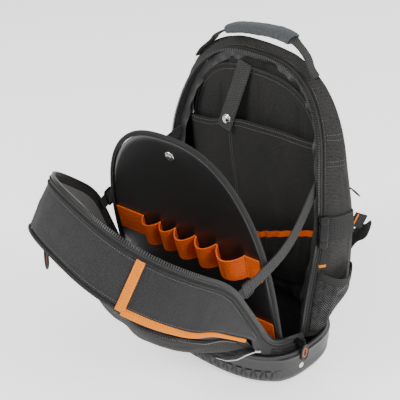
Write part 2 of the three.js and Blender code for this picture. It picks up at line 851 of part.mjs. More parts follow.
// a closed sleeve round a flat strap: oval outside, flat slot inside
function sleeve(line, from, to, outer, slot, rows, sides = 12) {
  const widthWay = slot.side.clone().normalize();
  const ring = (t, half, power) => {
    const tangent = line.getTangent(t);
    const up = tangent.clone().cross(widthWay).normalize();
    const across = up.clone().cross(tangent).normalize();
    return steps(sides - 1).map((_, k) => {
      const angle = (2 * Math.PI * (k + 0.5)) / sides;
      const c = Math.cos(angle);
      const s = Math.sin(angle);
      const w = Math.sign(c) * Math.pow(Math.abs(c), 2 / power) * half[0];
      const h = Math.sign(s) * Math.pow(Math.abs(s), 2 / power) * half[1];
      return line.getPoint(t).addScaledVector(across, w).addScaledVector(up, h);
    });
  };
  const places = steps(rows).map((t) => mix(from, to, t));
  const taper = (t) => 1 - 0.1 * Math.abs(2 * t - 1) ** 4;
  const outside = places.map((t, j) => ring(t, outer.map((v) => v * taper(j / rows)), 2.6));
  return wall(outside, places.map((t) => ring(t, slot.half, 12)), true);
}

function placeOnLine(line, test) {
  return steps(400).find((t) => test(line.getPoint(t)));
}

function handleGrip() {
  const from = placeOnLine(handleLine, (p) => p.x < gripHalf);
  const to = placeOnLine(handleLine, (p) => p.x < -gripHalf);
  const half = [handleWebbingWidth / 2 + seamGap, webbingThick / 2 + seamGap];
  const outer = [handleWebbingWidth / 2 + 4, gripRadius];
  return sleeve(handleLine, from, to, outer, { half, side: vector(0, 1, 0) }, 8);
}

const handleWebbing = () => webbing(handlePath, [vector(0, 1, 0)], handleWebbingWidth, webbingThick, 26);

// straps that hold the flap open, from inside the opening to the flap's rim
function rimAt(height) {
  const rows = bodyRow(0, 0, 0.1).slice(0, archCount / 2).map((p) => [p.z, p.x, p.y]);
  return vector(between(rows, height, 1), between(rows, height, 2), height);
}

const stayTop = 270;
const stayShares = { right: 0.48, left: 0.53 };
const stayDrop = 7;
const stayBow = 14;

function stayPath(side) {
  const inside = zipThick + 3 * seamGap + gap + webbingThick / 2;
  const top = rimAt(stayTop);
  const { rim, out } = flapAt([side * flapHalfWidth, flapLength * (side > 0 ? stayShares.right : stayShares.left)]);
  const start = vector(side * (top.x - inside) - slouchAt(top.z), top.y + zipWidth, top.z);
  const end = vector(rim.x - side * inside, rim.y, rim.z).addScaledVector(out, zipWidth / 2);
  const middle = start.clone().lerp(end, 0.5).add(vector(side * stayBow, 0, -stayDrop));
  return [start, middle, end];
}

const stayWide = vector(0, -0.46, 0.89);
const stayStrap = (side) => webbing(stayPath(side), [stayWide], stayWidth, webbingThick, 10);

function staySlider(side) {
  const line = new THREE.CatmullRomCurve3(stayPath(side), false, 'centripetal');
  const half = [stayWidth / 2 + gap, webbingThick / 2 + gap];
  const outer = [stayWidth / 2 + sliderBar, webbingThick / 2 + sliderBar * 0.7];
  return sleeve(line, 0.84, 0.93, outer, { half, side: stayWide }, 1);
}

// carrying straps on the back: padded upper part and plain webbing below
const padTop = 385;
const padTable = [
  // share of the length, share of the half width sideways, stand-off
  [0, 0.28, 0],
  [0.12, 0.3, 0.45],
  [0.35, 0.36, 0.95],
  [0.6, 0.44, 1],
  [0.85, 0.54, 0.7],
  [1, 0.6, 0.35],
];

const padPath = (side) => padTable.map(([down, x, off]) => {
  const room = gap + padThick / 2;
  return vector(side * x * bodyHalfWidth, bodyBackY + room + off * padStandOff, padTop - down * padLength);
});

const padSection = [
  // share across, share of the thickness
  [-1, 0.3],
  [-0.8, 1],
  [0.8, 1],
  [1, 0.3],
];

function shoulderPad(side) {
  const line = new THREE.CatmullRomCurve3(padPath(side), false, 'centripetal');
  const count = 9;
  const rows = steps(count).map((t) => {
    const middle = line.getPoint(t);
    const tangent = line.getTangent(t);
    const across = vector(1, 0, 0).addScaledVector(tangent, -tangent.x).normalize();
    const normal = across.clone().cross(tangent).normalize();
    const end = t < 0.01 || t > 0.99 ? 0.6 : 1;
    return padSection.map(([w, h]) => {
      const flat = middle.clone().addScaledVector(across, (w * end * padWidth) / 2);
      const lift = (h * padThick) / 2;
      return [flat.clone().addScaledVector(normal, lift), flat.clone().addScaledVector(normal, -lift)];
    });
  });
  return wall(rows.map((row) => row.map((p) => p[0])), rows.map((row) => row.map((p) => p[1])));
}

const anchorHeight = baseHeight + anchorRise;
const anchorShare = 0.72;

function shoulderPath(side) {
  const path = padPath(side);
  const last = path[path.length - 1];
  const before = path[path.length - 2];
  const way = last.clone().sub(before).normalize();
  const start = last.clone().addScaledVector(way, seamGap + gap);
  const foot = seatOnBase(vector(anchorShare * bodyHalfWidth, bodyBackY, anchorHeight), baseWall + seatGap, 1);
  const room = webbingThick / 2 + 4 * gap + waistBack(anchorHeight);
  const end = vector(side * foot.x, foot.y + room, anchorHeight);
  const middle = start.clone().lerp(end, 0.5).add(vector(0, 5, -3));
  return [start, middle, end];
}

// how far the back has come out again from the base at a height
function waistBack(z) {
  return smooth((z - baseHeight) / waistRise) * (bodyBackY - baseCentreY - baseHalfDepth + baseWall + seatGap);
}

const shoulderWebbing = (side) => webbing(shoulderPath(side), [vector(1, 0, 0.35 * side)], tailWidth, webbingThick, 6);

function shoulderSlider(side) {
  const line = new THREE.CatmullRomCurve3(shoulderPath(side), false, 'centripetal');
  const half = [tailWidth / 2 + gap, webbingThick / 2 + gap];
  const outer = [tailWidth / 2 + sliderBar, webbingThick / 2 + sliderBar * 0.8];
  return sleeve(line, 0.08, 0.3, outer, { half, side: vector(1, 0, 0.35 * side) }, 1);
}

// loose webbing ends that show past the right edge
const highTail = [
  // out from the pad's edge, behind the back, height, all as shares of the tail's width
  [-0.3, 1.35, 9.87],
  [0.9, 1, 10.12],
  [1.7, 0.8, 10.22],
  [2.35, 0.82, 9.92],
];

const lowTail = [
  [0.585, 0.6, 3.8],
  [1.3, 0.95, 5.05],
  [1.78, 0.85, 6.25],
  [2.4, 0.75, 7.3],
  [3.03, 0.7, 7.87],
  [3.36, 0.7, 8.57],
];

function tailPath(rows) {
  const edge = padTable[3][1] * bodyHalfWidth + padWidth / 2;
  return rows.map(([x, y, z]) => vector(edge + x * tailWidth, bodyBackY + y * tailWidth, z * tailWidth));
}

// oval pull: flat plate that hangs from its top
function pull(length) {
  const shape = new THREE.Shape();
  shape.absellipse(0, -length / 2, pullWidth / 2, length / 2, 0, Math.PI * 2);
  const options = { depth: pullThick, bevelEnabled: false, curveSegments: 7 };
  const plate = new THREE.ExtrudeGeometry(shape, options);
  plate.translate(0, 0, -pullThick / 2);
  plate.rotateX(Math.PI / 2);
  return plate;
}

const zipEndY = flapFootY - zipEndForward;
const pullX = baseHalfWidth + seamGap + pullThick / 2;

function zipPull(side) {
  const plate = pull(pullLength);
  plate.rotateZ(Math.PI / 2);
  plate.translate(side * pullX, zipEndY - sliderWidth, baseHeight + pullLift);
  return plate;
}

// slider block on the zip's end with a tongue out to the pull
function zipSlider(side) {
  const from = flapHalfWidth + zipThick + (side < 0 ? seamGap : 0);
  const to = pullX - pullThick / 2 - gap;
  const block = new THREE.BoxGeometry(to - from, sliderWidth, sliderHeight);
  block.translate((side * (from + to)) / 2, zipEndY - sliderWidth, baseHeight + sliderLift);
  return block;
}

function pocketPull() {
  const t = 0.62;
  const index = Math.round(t * (panelArch.length - 1));
  const top = panelPoint(panelArch[index], t, 0.9, between(panelRows, 0.9) + (pullThick / 2 + 2 * gap) / panelCrown);
  const plate = pull(pullLength * 1.3);
  plate.translate(top.x, top.y, top.z);
  return plate;
}

// rivets through the base and snaps
function baseRivet(side) {
  const rivet = stud(rivetRadius, rivetHeight);
  rivet.rotateZ((-side * Math.PI) / 2);
  rivet.translate(side * (baseHalfWidth + gap / 2 + rivetHeight / 2), rivetY, rivetZ);
  return rivet;
}

function boardStud() {
  const snap = stud(snapRadius, snapHeight);
  snap.rotateX(Math.PI / 2);
  snap.translate(4, studHeight, boardFaceOut + snapHeight / 2);
  return placeBoard(snap);
}

function closureSnap() {
  const snap = stud(snapRadius, snapHeight);
  const [upper, lower] = closurePoints.slice(2);
  const way = lower.clone().sub(upper).normalize();
  const normal = vector(0, way.z, -way.y).normalize();
  snap.applyQuaternion(new THREE.Quaternion().setFromUnitVectors(vector(0, 1, 0), normal));
  const at = lower.clone().lerp(upper, 0.4).addScaledVector(normal, webbingThick / 2 + gap + snapHeight / 2);
  snap.translate(at.x, at.y, at.z);
  return snap;
}

const group = new THREE.Group();

function add(name, geometry, color, roughness, metalness = 0) {
  const material = new THREE.MeshStandardMaterial({ color, roughness, metalness });
  const mesh = new THREE.Mesh(geometry, material);
  mesh.name = name;
  group.add(mesh);
  return mesh;
}

const black = 0x232325;
const grey = 0x3c3c3e;
const orange = 0xfa962d;
const elasticOrange = 0xeb5f1e;
const steel = 0xc9c9c9;

add('base_tub', baseTub(), 0x3e4042, 0.45);
add('body_wall', slouched(bodyWall()), black, 0.85);
add('body_zip', slouched(bodyZip()), black, 0.7);
add('back_panel', slouched(backPanel()), black, 0.9);
add('inner_panel', slouched(innerPanel()), black, 0.9);
add('big_pocket', slouched(bigPocket()), black, 0.9);
add('low_pocket', slouched(lowPocket()), black, 0.9);
add('low_pocket_elastic', slouched(lowPocketBand()), elasticOrange, 0.7);
add('closure_strap', slouched(closureStrap()), grey, 0.8);
add('closure_snap', slouched(closureSnap()), steel, 0.3, 1);
add('flap_zip', flapZip(), black, 0.7);
add('flap_gusset', flapGusset(), grey, 0.75);
add('flap_panel', flapPanel(), grey, 0.75);
add('front_pocket', frontPocket(), black, 0.85);
add('flap_band', flapBand(), orange, 0.7);
add('flap_piping', pipingAlong(panelFirst, bandPlace - 1), orange, 0.7);
add('flap_seam', pipingAlong(bandPlace, flapArch.length - 1 - panelFirst), black, 0.7);
add('divider_board', dividerBoard(), 0x18181a, 0.25);
add('board_binding', boardBinding(), black, 0.8);
add('board_stud', boardStud(), steel, 0.3, 1);
add('tool_loops', elasticBand(loopRowHeight, loopTable), elasticOrange, 0.7);
add('board_band', elasticBand(lowBandHeight, []), orange, 0.7);
add('handle_webbing', slouched(handleWebbing()), grey, 0.8);
add('handle_grip', slouched(handleGrip()), 0x4b4e50, 0.7);
add('side_strap', slouched(sideStrap()), black, 0.8);
add('side_clasp', slouched(sideClasp()), grey, 0.6);
add('side_webbing', slouched(sideWebbing()), black, 0.8);
add('side_tab', slouched(sideTab()), grey, 0.8);
add('mesh_pocket', meshPocket(), black, 0.8);
add('mesh_hem', meshHem(), grey, 0.8);
for (const [name, side] of [['right', 1], ['left', -1]]) {
  add(`stay_strap_${name}`, stayStrap(side), grey, 0.8);
  add(`stay_slider_${name}`, staySlider(side), black, 0.5);
  add(`shoulder_pad_${name}`, slouched(shoulderPad(side)), black, 0.9);
  add(`shoulder_webbing_${name}`, slouched(shoulderWebbing(side)), grey, 0.8);
  add(`shoulder_slider_${name}`, slouched(shoulderSlider(side)), black, 0.5);
  add(`zip_slider_${name}`, zipSlider(side), black, 0.4);
  add(`zip_pull_${name}`, zipPull(side), black, 0.5);
  add(`base_rivet_${name}`, baseRivet(side), 0xe6e6e6, 0.4);
}
add('pocket_pull', pocketPull(), black, 0.5);
add('strap_tail_high', webbing(tailPath(highTail), [vector(0.1, 1, 0.2)], tailWidth, webbingThick, 8), grey, 0.8);
add('strap_tail_low', webbing(tailPath(lowTail), [vector(-0.3, 0, 1), vector(-0.8, 0.3, 0.6)], tailWidth, webbingThick, 8), grey, 0.8);

export default group;
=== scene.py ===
import json
import math

import bpy
import numpy as np
from mathutils import Matrix, Vector

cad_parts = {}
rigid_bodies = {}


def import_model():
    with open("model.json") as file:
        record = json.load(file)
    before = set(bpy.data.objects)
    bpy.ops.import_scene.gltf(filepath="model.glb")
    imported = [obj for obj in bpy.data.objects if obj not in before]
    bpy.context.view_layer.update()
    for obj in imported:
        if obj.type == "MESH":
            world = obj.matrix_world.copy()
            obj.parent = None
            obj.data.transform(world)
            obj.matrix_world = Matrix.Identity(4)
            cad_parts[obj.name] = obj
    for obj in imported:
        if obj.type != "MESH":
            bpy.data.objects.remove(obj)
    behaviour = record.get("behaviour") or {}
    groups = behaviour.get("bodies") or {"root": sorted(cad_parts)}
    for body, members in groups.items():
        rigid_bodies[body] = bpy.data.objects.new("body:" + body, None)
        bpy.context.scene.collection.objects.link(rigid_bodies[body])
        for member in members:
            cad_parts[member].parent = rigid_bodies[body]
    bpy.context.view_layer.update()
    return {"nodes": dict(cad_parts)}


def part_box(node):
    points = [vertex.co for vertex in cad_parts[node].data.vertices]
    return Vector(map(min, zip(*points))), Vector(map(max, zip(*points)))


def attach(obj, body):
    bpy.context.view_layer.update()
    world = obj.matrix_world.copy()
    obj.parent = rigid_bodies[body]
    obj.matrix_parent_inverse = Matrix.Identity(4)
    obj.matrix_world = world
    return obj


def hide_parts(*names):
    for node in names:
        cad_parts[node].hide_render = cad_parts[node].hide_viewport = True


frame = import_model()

mm = 0.001
pi = math.pi
degree = pi / 180
scene = bpy.context.scene

# sizes of the bag that its pieces share, in millimetres, as in the solids
baseHalfWidth, baseHalfDepth, baseCentreY, basePower = 172, 99, -13, 2.9
baseHeight, baseWall, baseFloor, baseEdgeRound = 50, 4, 6, 14
footZ, rimFootY, rimHalfWidth, rimLength, rimLean = 42, -9, 147, 389, 11.5
rimPower, rimStraight, bodyHalfWidth, bodyTop = 2.8, 143, 159, 432
bodySlouch, slouchFoot, slouchRise, bodyBackY = 12, 180, 120, 86
wallSwell, clothWall, waistRise, backPad = 9, 3, 60, 14
zipWidth, zipThick, gap, seamGap, seatGap = 9, 4, 0.4, 1.2, 2.8
flapFootY, flapFootZ, flapHalfWidth, flapLength = -12, 55, 153.5, 380
flapStraight, flapPower, flapTwist, flapYaw, flapSkew = 124, 3.1, 8.6, 3.6, -1.6
gussetDepth, flapCloth, panelCrown, panelDraw, pipingRadius = 75, 2.6, 20, 0.06, 2.4
boardHalfWidth, boardHeight, boardFootY, boardTilt, boardYaw = 145, 376, -45.7, 13.8, -5.5
boardPower, boardStraight, boardThick, boardFootLift = 2.5, 102, 4, 1.9
bindingWidth, bindingThick = 7, 6.4
backFaceY = bodyBackY - backPad
pipingRoom = pipingRadius + seamGap + gap


# a direction: the vector over its own length
def unit(a):
    return a / np.maximum(np.linalg.norm(a, axis=-1, keepdims=True), 1e-9)


# eased step: t * t * (3 - 2 * t), flat below 0 and above 1
def smooth(t):
    t = np.clip(t, 0, 1)
    return t * t * (3 - 2 * t)


# straight blend: a where t is 0, b where it is 1
def mix(a, b, t):
    return a + (b - a) * t


# points from their coordinates: one array with x, y and z last
def stack(*parts):
    return np.stack(np.broadcast_arrays(*parts), axis=-1).astype(float)


# low hills and hollows: a sum of a few cosines of seeded directions and lengths
def ripples(u, v, length, seed, count=7):
    rng = np.random.default_rng(seed)
    total = 0
    for _ in range(count):
        turn, phase, wave = rng.uniform(0, pi), rng.uniform(0, 2 * pi), length * rng.uniform(0.6, 1.6)
        total = total + np.cos(2 * pi * (u * math.cos(turn) + v * math.sin(turn)) / wave + phase)
    return total / math.sqrt(count)


# smooth curve through points: cubic pieces with the slopes of their neighbours
def spline(points, count):
    p = np.asarray(points, float)
    t = np.concatenate([[0], np.cumsum(np.linalg.norm(np.diff(p, axis=0), axis=1) ** 0.5)])
    slope = np.gradient(p, t, axis=0)
    s = np.linspace(0, t[-1], count * 8)
    k = np.clip(np.searchsorted(t, s, side="right") - 1, 0, len(p) - 2)
    h = (t[k + 1] - t[k])[:, None]
    x = (s - t[k])[:, None] / h
    line = (2 * x**3 - 3 * x**2 + 1) * p[k] + (x**3 - 2 * x**2 + x) * h * slope[k]
    line = line + (3 * x**2 - 2 * x**3) * p[k + 1] + (x**3 - x**2) * h * slope[k + 1]
    return even(line, count)


# distance run at each point of a line: the sum of the steps before it
def runLength(path):
    return np.concatenate([[0], np.cumsum(np.linalg.norm(np.diff(path, axis=0), axis=1))])


# a row of points read at other places: each coordinate taken straight between its neighbours
def follow(at, run, points):
    return np.stack([np.interp(at, run, points[:, k]) for k in range(3)], axis=-1)


# the same line with its points an even way apart
def even(path, count):
    run = runLength(path)
    return follow(np.linspace(0, run[-1], count), run, path)


# places on a grid as shares across and up, both from 0 to 1
def shares(cols, rows):
    return np.meshgrid(np.linspace(0, 1, cols), np.linspace(0, 1, rows))


# distances in metres along both ways of a grid, for the weave
def metric(grid, wrap):
    if wrap:
        grid = np.concatenate([grid, grid[:, :1]], axis=1)
    across = np.linalg.norm(np.diff(grid, axis=1), axis=-1)
    along = np.linalg.norm(np.diff(grid, axis=0), axis=-1)
    u = np.concatenate([np.zeros((len(grid), 1)), np.cumsum(across, axis=1)], axis=1)
    v = np.concatenate([np.zeros((1, grid.shape[1])), np.cumsum(along, axis=0)], axis=0)
    return np.stack([u - u[:, u.shape[1] // 2, None], v], axis=-1) * mm


# normals of a grid: the cross product of its two slopes
def normals(grid):
    return unit(np.cross(np.gradient(grid, axis=1), np.gradient(grid, axis=0)))


# one piece from its points, squares and triangles, turned round where its volume comes out negative
def makeObject(name, points, quads, quadUv, tris, triUv, material, replaces=(), sharp=45, slot=None):
    a, b, c, d = (points[quads[:, k]] for k in range(4))
    volume = np.sum(a * np.cross(b, c)) + np.sum(a * np.cross(c, d))
    if len(tris):
        volume += np.sum(points[tris[:, 0]] * np.cross(points[tris[:, 1]], points[tris[:, 2]]))
    if volume < 0:
        quads, quadUv = quads[:, ::-1], quadUv[:, ::-1]
        tris, triUv = tris[:, ::-1], triUv[:, ::-1]
    mesh = bpy.data.meshes.new(name)
    mesh.from_pydata((points * mm).tolist(), [], quads.tolist() + tris.tolist())
    layer = mesh.uv_layers.new(name="UVMap")
    layer.data.foreach_set("uv", np.concatenate([quadUv.reshape(-1), triUv.reshape(-1)]))
    mesh.polygons.foreach_set("use_smooth", np.ones(len(mesh.polygons), bool))
    mesh.set_sharp_from_angle(angle=sharp * degree)
    mesh.materials.append(material)
    piece = bpy.data.objects.new(name, mesh)
    scene.collection.objects.link(piece)
    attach(piece, "root")
    if replaces:
        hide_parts(*replaces)
    return piece


noTris, noTriUv = np.zeros((0, 3), int), np.zeros((0, 3, 2))


# squares of a grid and the weave's place at their corners: (j, i), (j, i + 1), (j + 1, i + 1), (j + 1, i)
def squares(uv, rows, cols, wrap):
    j, i = np.meshgrid(np.arange(rows - 1), np.arange(cols if wrap else cols - 1), indexing="ij")
    j, i = j.ravel(), i.ravel()
    k = (i + 1) % cols
    face = np.stack([j * cols + i, j * cols + k, (j + 1) * cols + k, (j + 1) * cols + i], axis=1)
    return face, np.stack([uv[j, i], uv[j, i + 1], uv[j + 1, i + 1], uv[j + 1, i]], axis=1)


# a sheet with a thickness: two grids of points, closed along their edges
def wall(name, front, back, material, wrap=False, **rest):
    rows, cols = front.shape[:2]
    uv = metric(front, wrap)
    n = rows * cols
    face, corner = squares(uv, rows, cols, wrap)
    faces, corners = [face, face[:, ::-1] + n], [corner, corner[:, ::-1]]
    i = np.arange(cols if wrap else cols - 1)
    k = (i + 1) % cols
    top = (rows - 1) * cols
    faces += [np.stack([i, n + i, n + k, k], axis=1)]
    faces += [np.stack([top + i, top + k, n + top + k, n + top + i], axis=1)]
    corners += [np.stack([uv[0, i], uv[0, i], uv[0, i + 1], uv[0, i + 1]], axis=1)]
    corners += [np.stack([uv[-1, i], uv[-1, i + 1], uv[-1, i + 1], uv[-1, i]], axis=1)]
    if not wrap:
        j = np.arange(rows - 1)
        low, high = j * cols, (j + 1) * cols
        last = cols - 1
        faces += [np.stack([low, high, n + high, n + low], axis=1)]
        faces += [np.stack([low + last, n + low + last, n + high + last, high + last], axis=1)]
        corners += [np.stack([uv[j, 0], uv[j + 1, 0], uv[j + 1, 0], uv[j, 0]], axis=1)]
        corners += [np.stack([uv[j, -1], uv[j, -1], uv[j + 1, -1], uv[j + 1, -1]], axis=1)]
    points = np.concatenate([front.reshape(-1, 3), back.reshape(-1, 3)])
    return makeObject(name, points, np.concatenate(faces), np.concatenate(corners), noTris, noTriUv,
                      material, **rest)


# two diagonals of each square of a sheet's grid, left unused
def cut(piece, grid):
    a, b = grid[1:, 1:] - grid[:-1, :-1], grid[1:, :-1] - grid[:-1, 1:]


# a body of closed rings, one after the other, with its two ends closed
def loft(name, rings, material, **rest):
    rows, cols = rings.shape[:2]
    uv = metric(rings, True)
    face, corner = squares(uv, rows, cols, True)
    points = np.concatenate([rings.reshape(-1, 3), rings[:1].mean(axis=1), rings[-1:].mean(axis=1)])
    i = np.arange(cols)
    k = (i + 1) % cols
    n, top = rows * cols, (rows - 1) * cols
    tris = np.concatenate([np.stack([np.full(cols, n), k, i], axis=1),
                           np.stack([np.full(cols, n + 1), top + i, top + k], axis=1)])
    triUv = np.concatenate([np.stack([uv[0, i], uv[0, i + 1], uv[0, i]], axis=1),
                            np.stack([uv[-1, i], uv[-1, i], uv[-1, i + 1]], axis=1)])
    return makeObject(name, points, face, corner, tris, triUv, material, **rest)


# a bar bent into a closed ring: line + across * a + face * b, for each (a, b) of its section
def ringBar(name, line, across, face, shape, material, **rest):
    grid = line + across * shape[:, None, :1] + face * shape[:, None, 1:]
    rows, cols = grid.shape[:2]
    j, i = np.meshgrid(np.arange(rows), np.arange(cols), indexing="ij")
    j, i = j.ravel(), i.ravel()
    k, l = (i + 1) % cols, (j + 1) % rows
    quads = np.stack([j * cols + i, j * cols + k, l * cols + k, l * cols + i], axis=1)
    return makeObject(name, grid.reshape(-1, 3), quads, np.zeros((len(quads), 4, 2)), noTris, noTriUv,
                      material, **rest)


# section of a strap or cord: a superellipse of two half sizes and a power
def section(halfWidth, halfThick, power=2, count=16):
    turn = 2 * pi * (np.arange(count) + 0.5) / count
    c, s = np.cos(turn), np.sin(turn)
    a = halfWidth * np.sign(c) * np.abs(c) ** (2 / power)
    b = halfThick * np.sign(s) * np.abs(s) ** (2 / power)
    return np.stack([a, b], axis=1)


# rings of a section along a path: point + side * a + up * b, each scaled by a taper
def sweepRings(path, side, shape, taper=None):
    tangent = unit(np.gradient(path, axis=0))
    side = np.broadcast_to(np.asarray(side, float), path.shape)
    side = unit(side - tangent * np.sum(side * tangent, axis=1, keepdims=True))
    up = np.cross(tangent, side)
    scale = np.ones(len(path)) if taper is None else taper
    ring = shape[None] * scale.reshape(len(path), 1, -1)
    return path[:, None] + side[:, None] * ring[..., :1] + up[:, None] * ring[..., 1:]


# a section carried along a path and closed at both ends
def sweep(name, path, side, shape, material, taper=None, **rest):
    return loft(name, sweepRings(path, side, shape, taper), material, **rest)


# the section of a tube stays round, so any direction that isn't the path's own will do as its side
def tube(name, path, radius, material, sides=10, **rest):
    tangent = unit(np.gradient(path, axis=0))
    start = np.cross(tangent[0], [0.3, 0.5, 0.8])
    side = np.empty_like(path)
    side[0] = unit(start)
    for k in range(1, len(path)):
        side[k] = unit(side[k - 1] - tangent[k] * np.dot(side[k - 1], tangent[k]))
    ends = np.ones(len(path))
    ends[[0, -1]] = 0.6
    return sweep(name, path, side, section(radius, radius, 2, sides), material, taper=ends, **rest)


# many copies of one small shape as one mesh: centre + along * x + side * y + up * z
def scatter(name, verts, faces, centres, along, side, material, **rest):
    along = unit(along)
    side = unit(side - along * np.sum(side * along, axis=1, keepdims=True))
    up = np.cross(along, side)
    verts = np.asarray(verts, float)
    points = centres[:, None] + along[:, None] * verts[None, :, :1] + side[:, None] * verts[None, :, 1:2]
    points = points + up[:, None] * verts[None, :, 2:]
    tris = (np.asarray(faces)[None] + (np.arange(len(centres)) * len(verts))[:, None, None]).reshape(-1, 3)
    points = points.reshape(-1, 3)
    uv = points[tris][..., :2] * mm
    quads = np.zeros((0, 4), int)
    return makeObject(name, points, quads, np.zeros((0, 4, 2)), tris, uv, material, **rest)


diamondFaces = [[0, 2, 4], [2, 1, 4], [1, 3, 4], [3, 0, 4], [2, 0, 5], [1, 2, 5], [3, 1, 5], [0, 3, 5]]
stitchRuns = {"dark": [], "orange": []}


# a row of stitches along a line on a surface, kept until all are known
def stitch(path, normal, pitch=3.6, colour="dark"):
    run = runLength(path)
    at = np.arange(pitch, run[-1] - pitch, pitch)
    normal = np.broadcast_to(np.asarray(normal, float), path.shape)
    way = follow(at, run, np.gradient(path, axis=0))
    stitchRuns[colour].append((follow(at, run, path), unit(way), unit(follow(at, run, normal))))


# a small box by its three half sizes
def blockShape(x, y, z):
    verts = [[sx * x, sy * y, sz * z] for sx in (-1, 1) for sy in (-1, 1) for sz in (-1, 1)]
    faces = [[0, 1, 3], [0, 3, 2], [4, 6, 7], [4, 7, 5], [0, 4, 5], [0, 5, 1],
             [2, 3, 7], [2, 7, 6], [0, 2, 6], [0, 6, 4], [1, 5, 7], [1, 7, 3]]
    return verts, faces


# teeth along the edge of a zip: small blocks across the line, every pitch
def teeth(name, path, out, pitch=3.4):
    count = int(runLength(path)[-1] / pitch)
    line = even(path, count)
    side = follow(np.linspace(0, 1, count), np.linspace(0, 1, len(path)), out)
    verts, faces = blockShape(1.0, 2.6, 2.1)
    return scatter(name, verts, faces, line + unit(side) * 0.8, np.gradient(line, axis=0), side,
                   toothPlastic)


# one value on its way through a material's nodes
class Wire:
    def __init__(self, look, socket):
        self.look = look
        self.socket = socket

    def __add__(self, other):
        return self.look.maths("ADD", self, other)

    def __sub__(self, other):
        return self.look.maths("SUBTRACT", self, other)

    def __rsub__(self, other):
        return self.look.maths("SUBTRACT", other, self)

    def __mul__(self, other):
        return self.look.maths("MULTIPLY", self, other)

    __radd__ = __add__
    __rmul__ = __mul__


# a material whose maths is written as expressions on its wires
class Look:
    def __init__(self, name, roughness, metallic=0, coat=0, sheen=0, specular=0.5):
        self.material = bpy.data.materials.new(name)
        self.material.use_nodes = True
        self.material.node_tree.nodes.clear()
        values = {"Roughness": roughness, "Metallic": metallic, "Coat Weight": coat,
                  "Sheen Weight": sheen, "Specular IOR Level": specular}
        self.shader = self.node("ShaderNodeBsdfPrincipled", {}, values)
        self.node("ShaderNodeOutputMaterial", {}, {"Surface": Wire(self, self.shader.outputs[0])})

    def node(self, kind, settings, values):
        made = self.material.node_tree.nodes.new(kind)
        for key, value in settings.items():
            setattr(made, key, value)
        for key, value in values.items():
            if isinstance(value, Wire):
                self.material.node_tree.links.new(value.socket, made.inputs[key])
            else:
                made.inputs[key].default_value = value
        return made

    def maths(self, operation, *values):
        made = self.node("ShaderNodeMath", {"operation": operation}, dict(enumerate(values)))
        return Wire(self, made.outputs[0])

    def sine(self, value):
        return self.maths("SINE", value)

    def clip(self, value):
        return self.maths("MAXIMUM", self.maths("MINIMUM", value, 1), 0)

    # the weave's two directions, in millimetres
    def cloth(self):
        made = self.node("ShaderNodeUVMap", {"uv_map": "UVMap"}, {})
        parts = self.node("ShaderNodeSeparateXYZ", {}, {0: Wire(self, made.outputs[0])})
        return Wire(self, parts.outputs[0]) * 1000, Wire(self, parts.outputs[1]) * 1000

    def place(self):
        return Wire(self, self.node("ShaderNodeTexCoord", {}, {}).outputs["Object"])

    def noise(self, scale, detail=3, roughness=0.55):
        values = {"Vector": self.place(), "Scale": scale, "Detail": detail, "Roughness": roughness}
        return Wire(self, self.node("ShaderNodeTexNoise", {}, values).outputs[0])

    def blend(self, factor, a, b):
        settings = {"data_type": "RGBA"}
        tint = lambda c: c if isinstance(c, Wire) else (*c, 1)
        made = self.node("ShaderNodeMix", settings, {0: factor, 6: tint(a), 7: tint(b)})
        return Wire(self, made.outputs[2])

    def give(self, name, value):
        self.material.node_tree.links.new(value.socket, self.shader.inputs[name])

    def bump(self, height, distance, strength=1.0):
        made = self.node("ShaderNodeBump", {}, {"Strength": strength, "Distance": distance, "Height": height})
        self.give("Normal", Wire(self, made.outputs[0]))


# woven cloth: threads over and under each other, with dust and a worn sheen in patches
def wovenLook(name, dark, light, pitch, roughness=0.85, depth=0.0006, sheen=0.12, onCloth=True,
              specular=0.2):
    look = Look(name, roughness, sheen=sheen, specular=specular)
    if onCloth:
        u, v = look.cloth()
    else:
        parts = look.node("ShaderNodeSeparateXYZ", {}, {0: look.place()})
        u, v = Wire(look, parts.outputs[0]) * 1000, Wire(look, parts.outputs[2]) * 1000
    threads = look.sine(u * (pi / pitch)) * look.sine(v * (pi / pitch)) * 0.5 + 0.5
    patches = look.noise(22, 4)
    fleck = look.noise(420, 2)
    shade = look.clip(threads * 0.25 + patches * 0.4 + fleck - 0.38)
    look.give("Base Color", look.blend(shade, dark, light))
    look.give("Roughness", look.clip(patches * 0.2 + (roughness - 0.12)))
    look.bump(threads * 0.8 + look.noise(60, 3) * 0.9 + fleck * 0.4, depth)
    return look.material


# webbing: ribs across the strap, leaning one way and back in a zigzag across its width
def webbingLook(name, dark, light, rib=1.7, roughness=0.75, sheen=0.05):
    look = Look(name, roughness, sheen=sheen, specular=0.3)
    u, v = look.cloth()
    lean = look.maths("ABSOLUTE", look.maths("PINGPONG", u, rib * 1.6) - rib * 0.8)
    ribs = look.sine((v + lean * 0.7) * (2 * pi / rib)) * 0.5 + 0.5
    patches = look.noise(60, 3)
    look.give("Base Color", look.blend(look.clip(ribs * 0.62 + patches * 0.5 - 0.12), dark, light))
    look.give("Roughness", look.clip(patches * 0.2 + (roughness - 0.1)))
    look.bump(ribs + patches * 0.3, 0.0009)
    return look.material


# moulded plastic or rubber: fine grain, scuffs that are lighter and rougher
def mouldedLook(name, base, scuff, roughness, grain=700, depth=0.00015, coat=0, amount=0.35, specular=0.5,
                wave=0.5):
    look = Look(name, roughness, coat=coat, specular=specular)
    worn = look.clip((look.noise(9, 6, 0.7) - 0.52) * 5) * amount
    look.give("Base Color", look.blend(worn, base, scuff))
    look.give("Roughness", look.clip(look.noise(30, 4) * 0.16 + worn * 0.2 + (roughness - 0.08)))
    look.bump(look.noise(grain, 1) + look.noise(60, 2) * wave, depth)
    return look.material
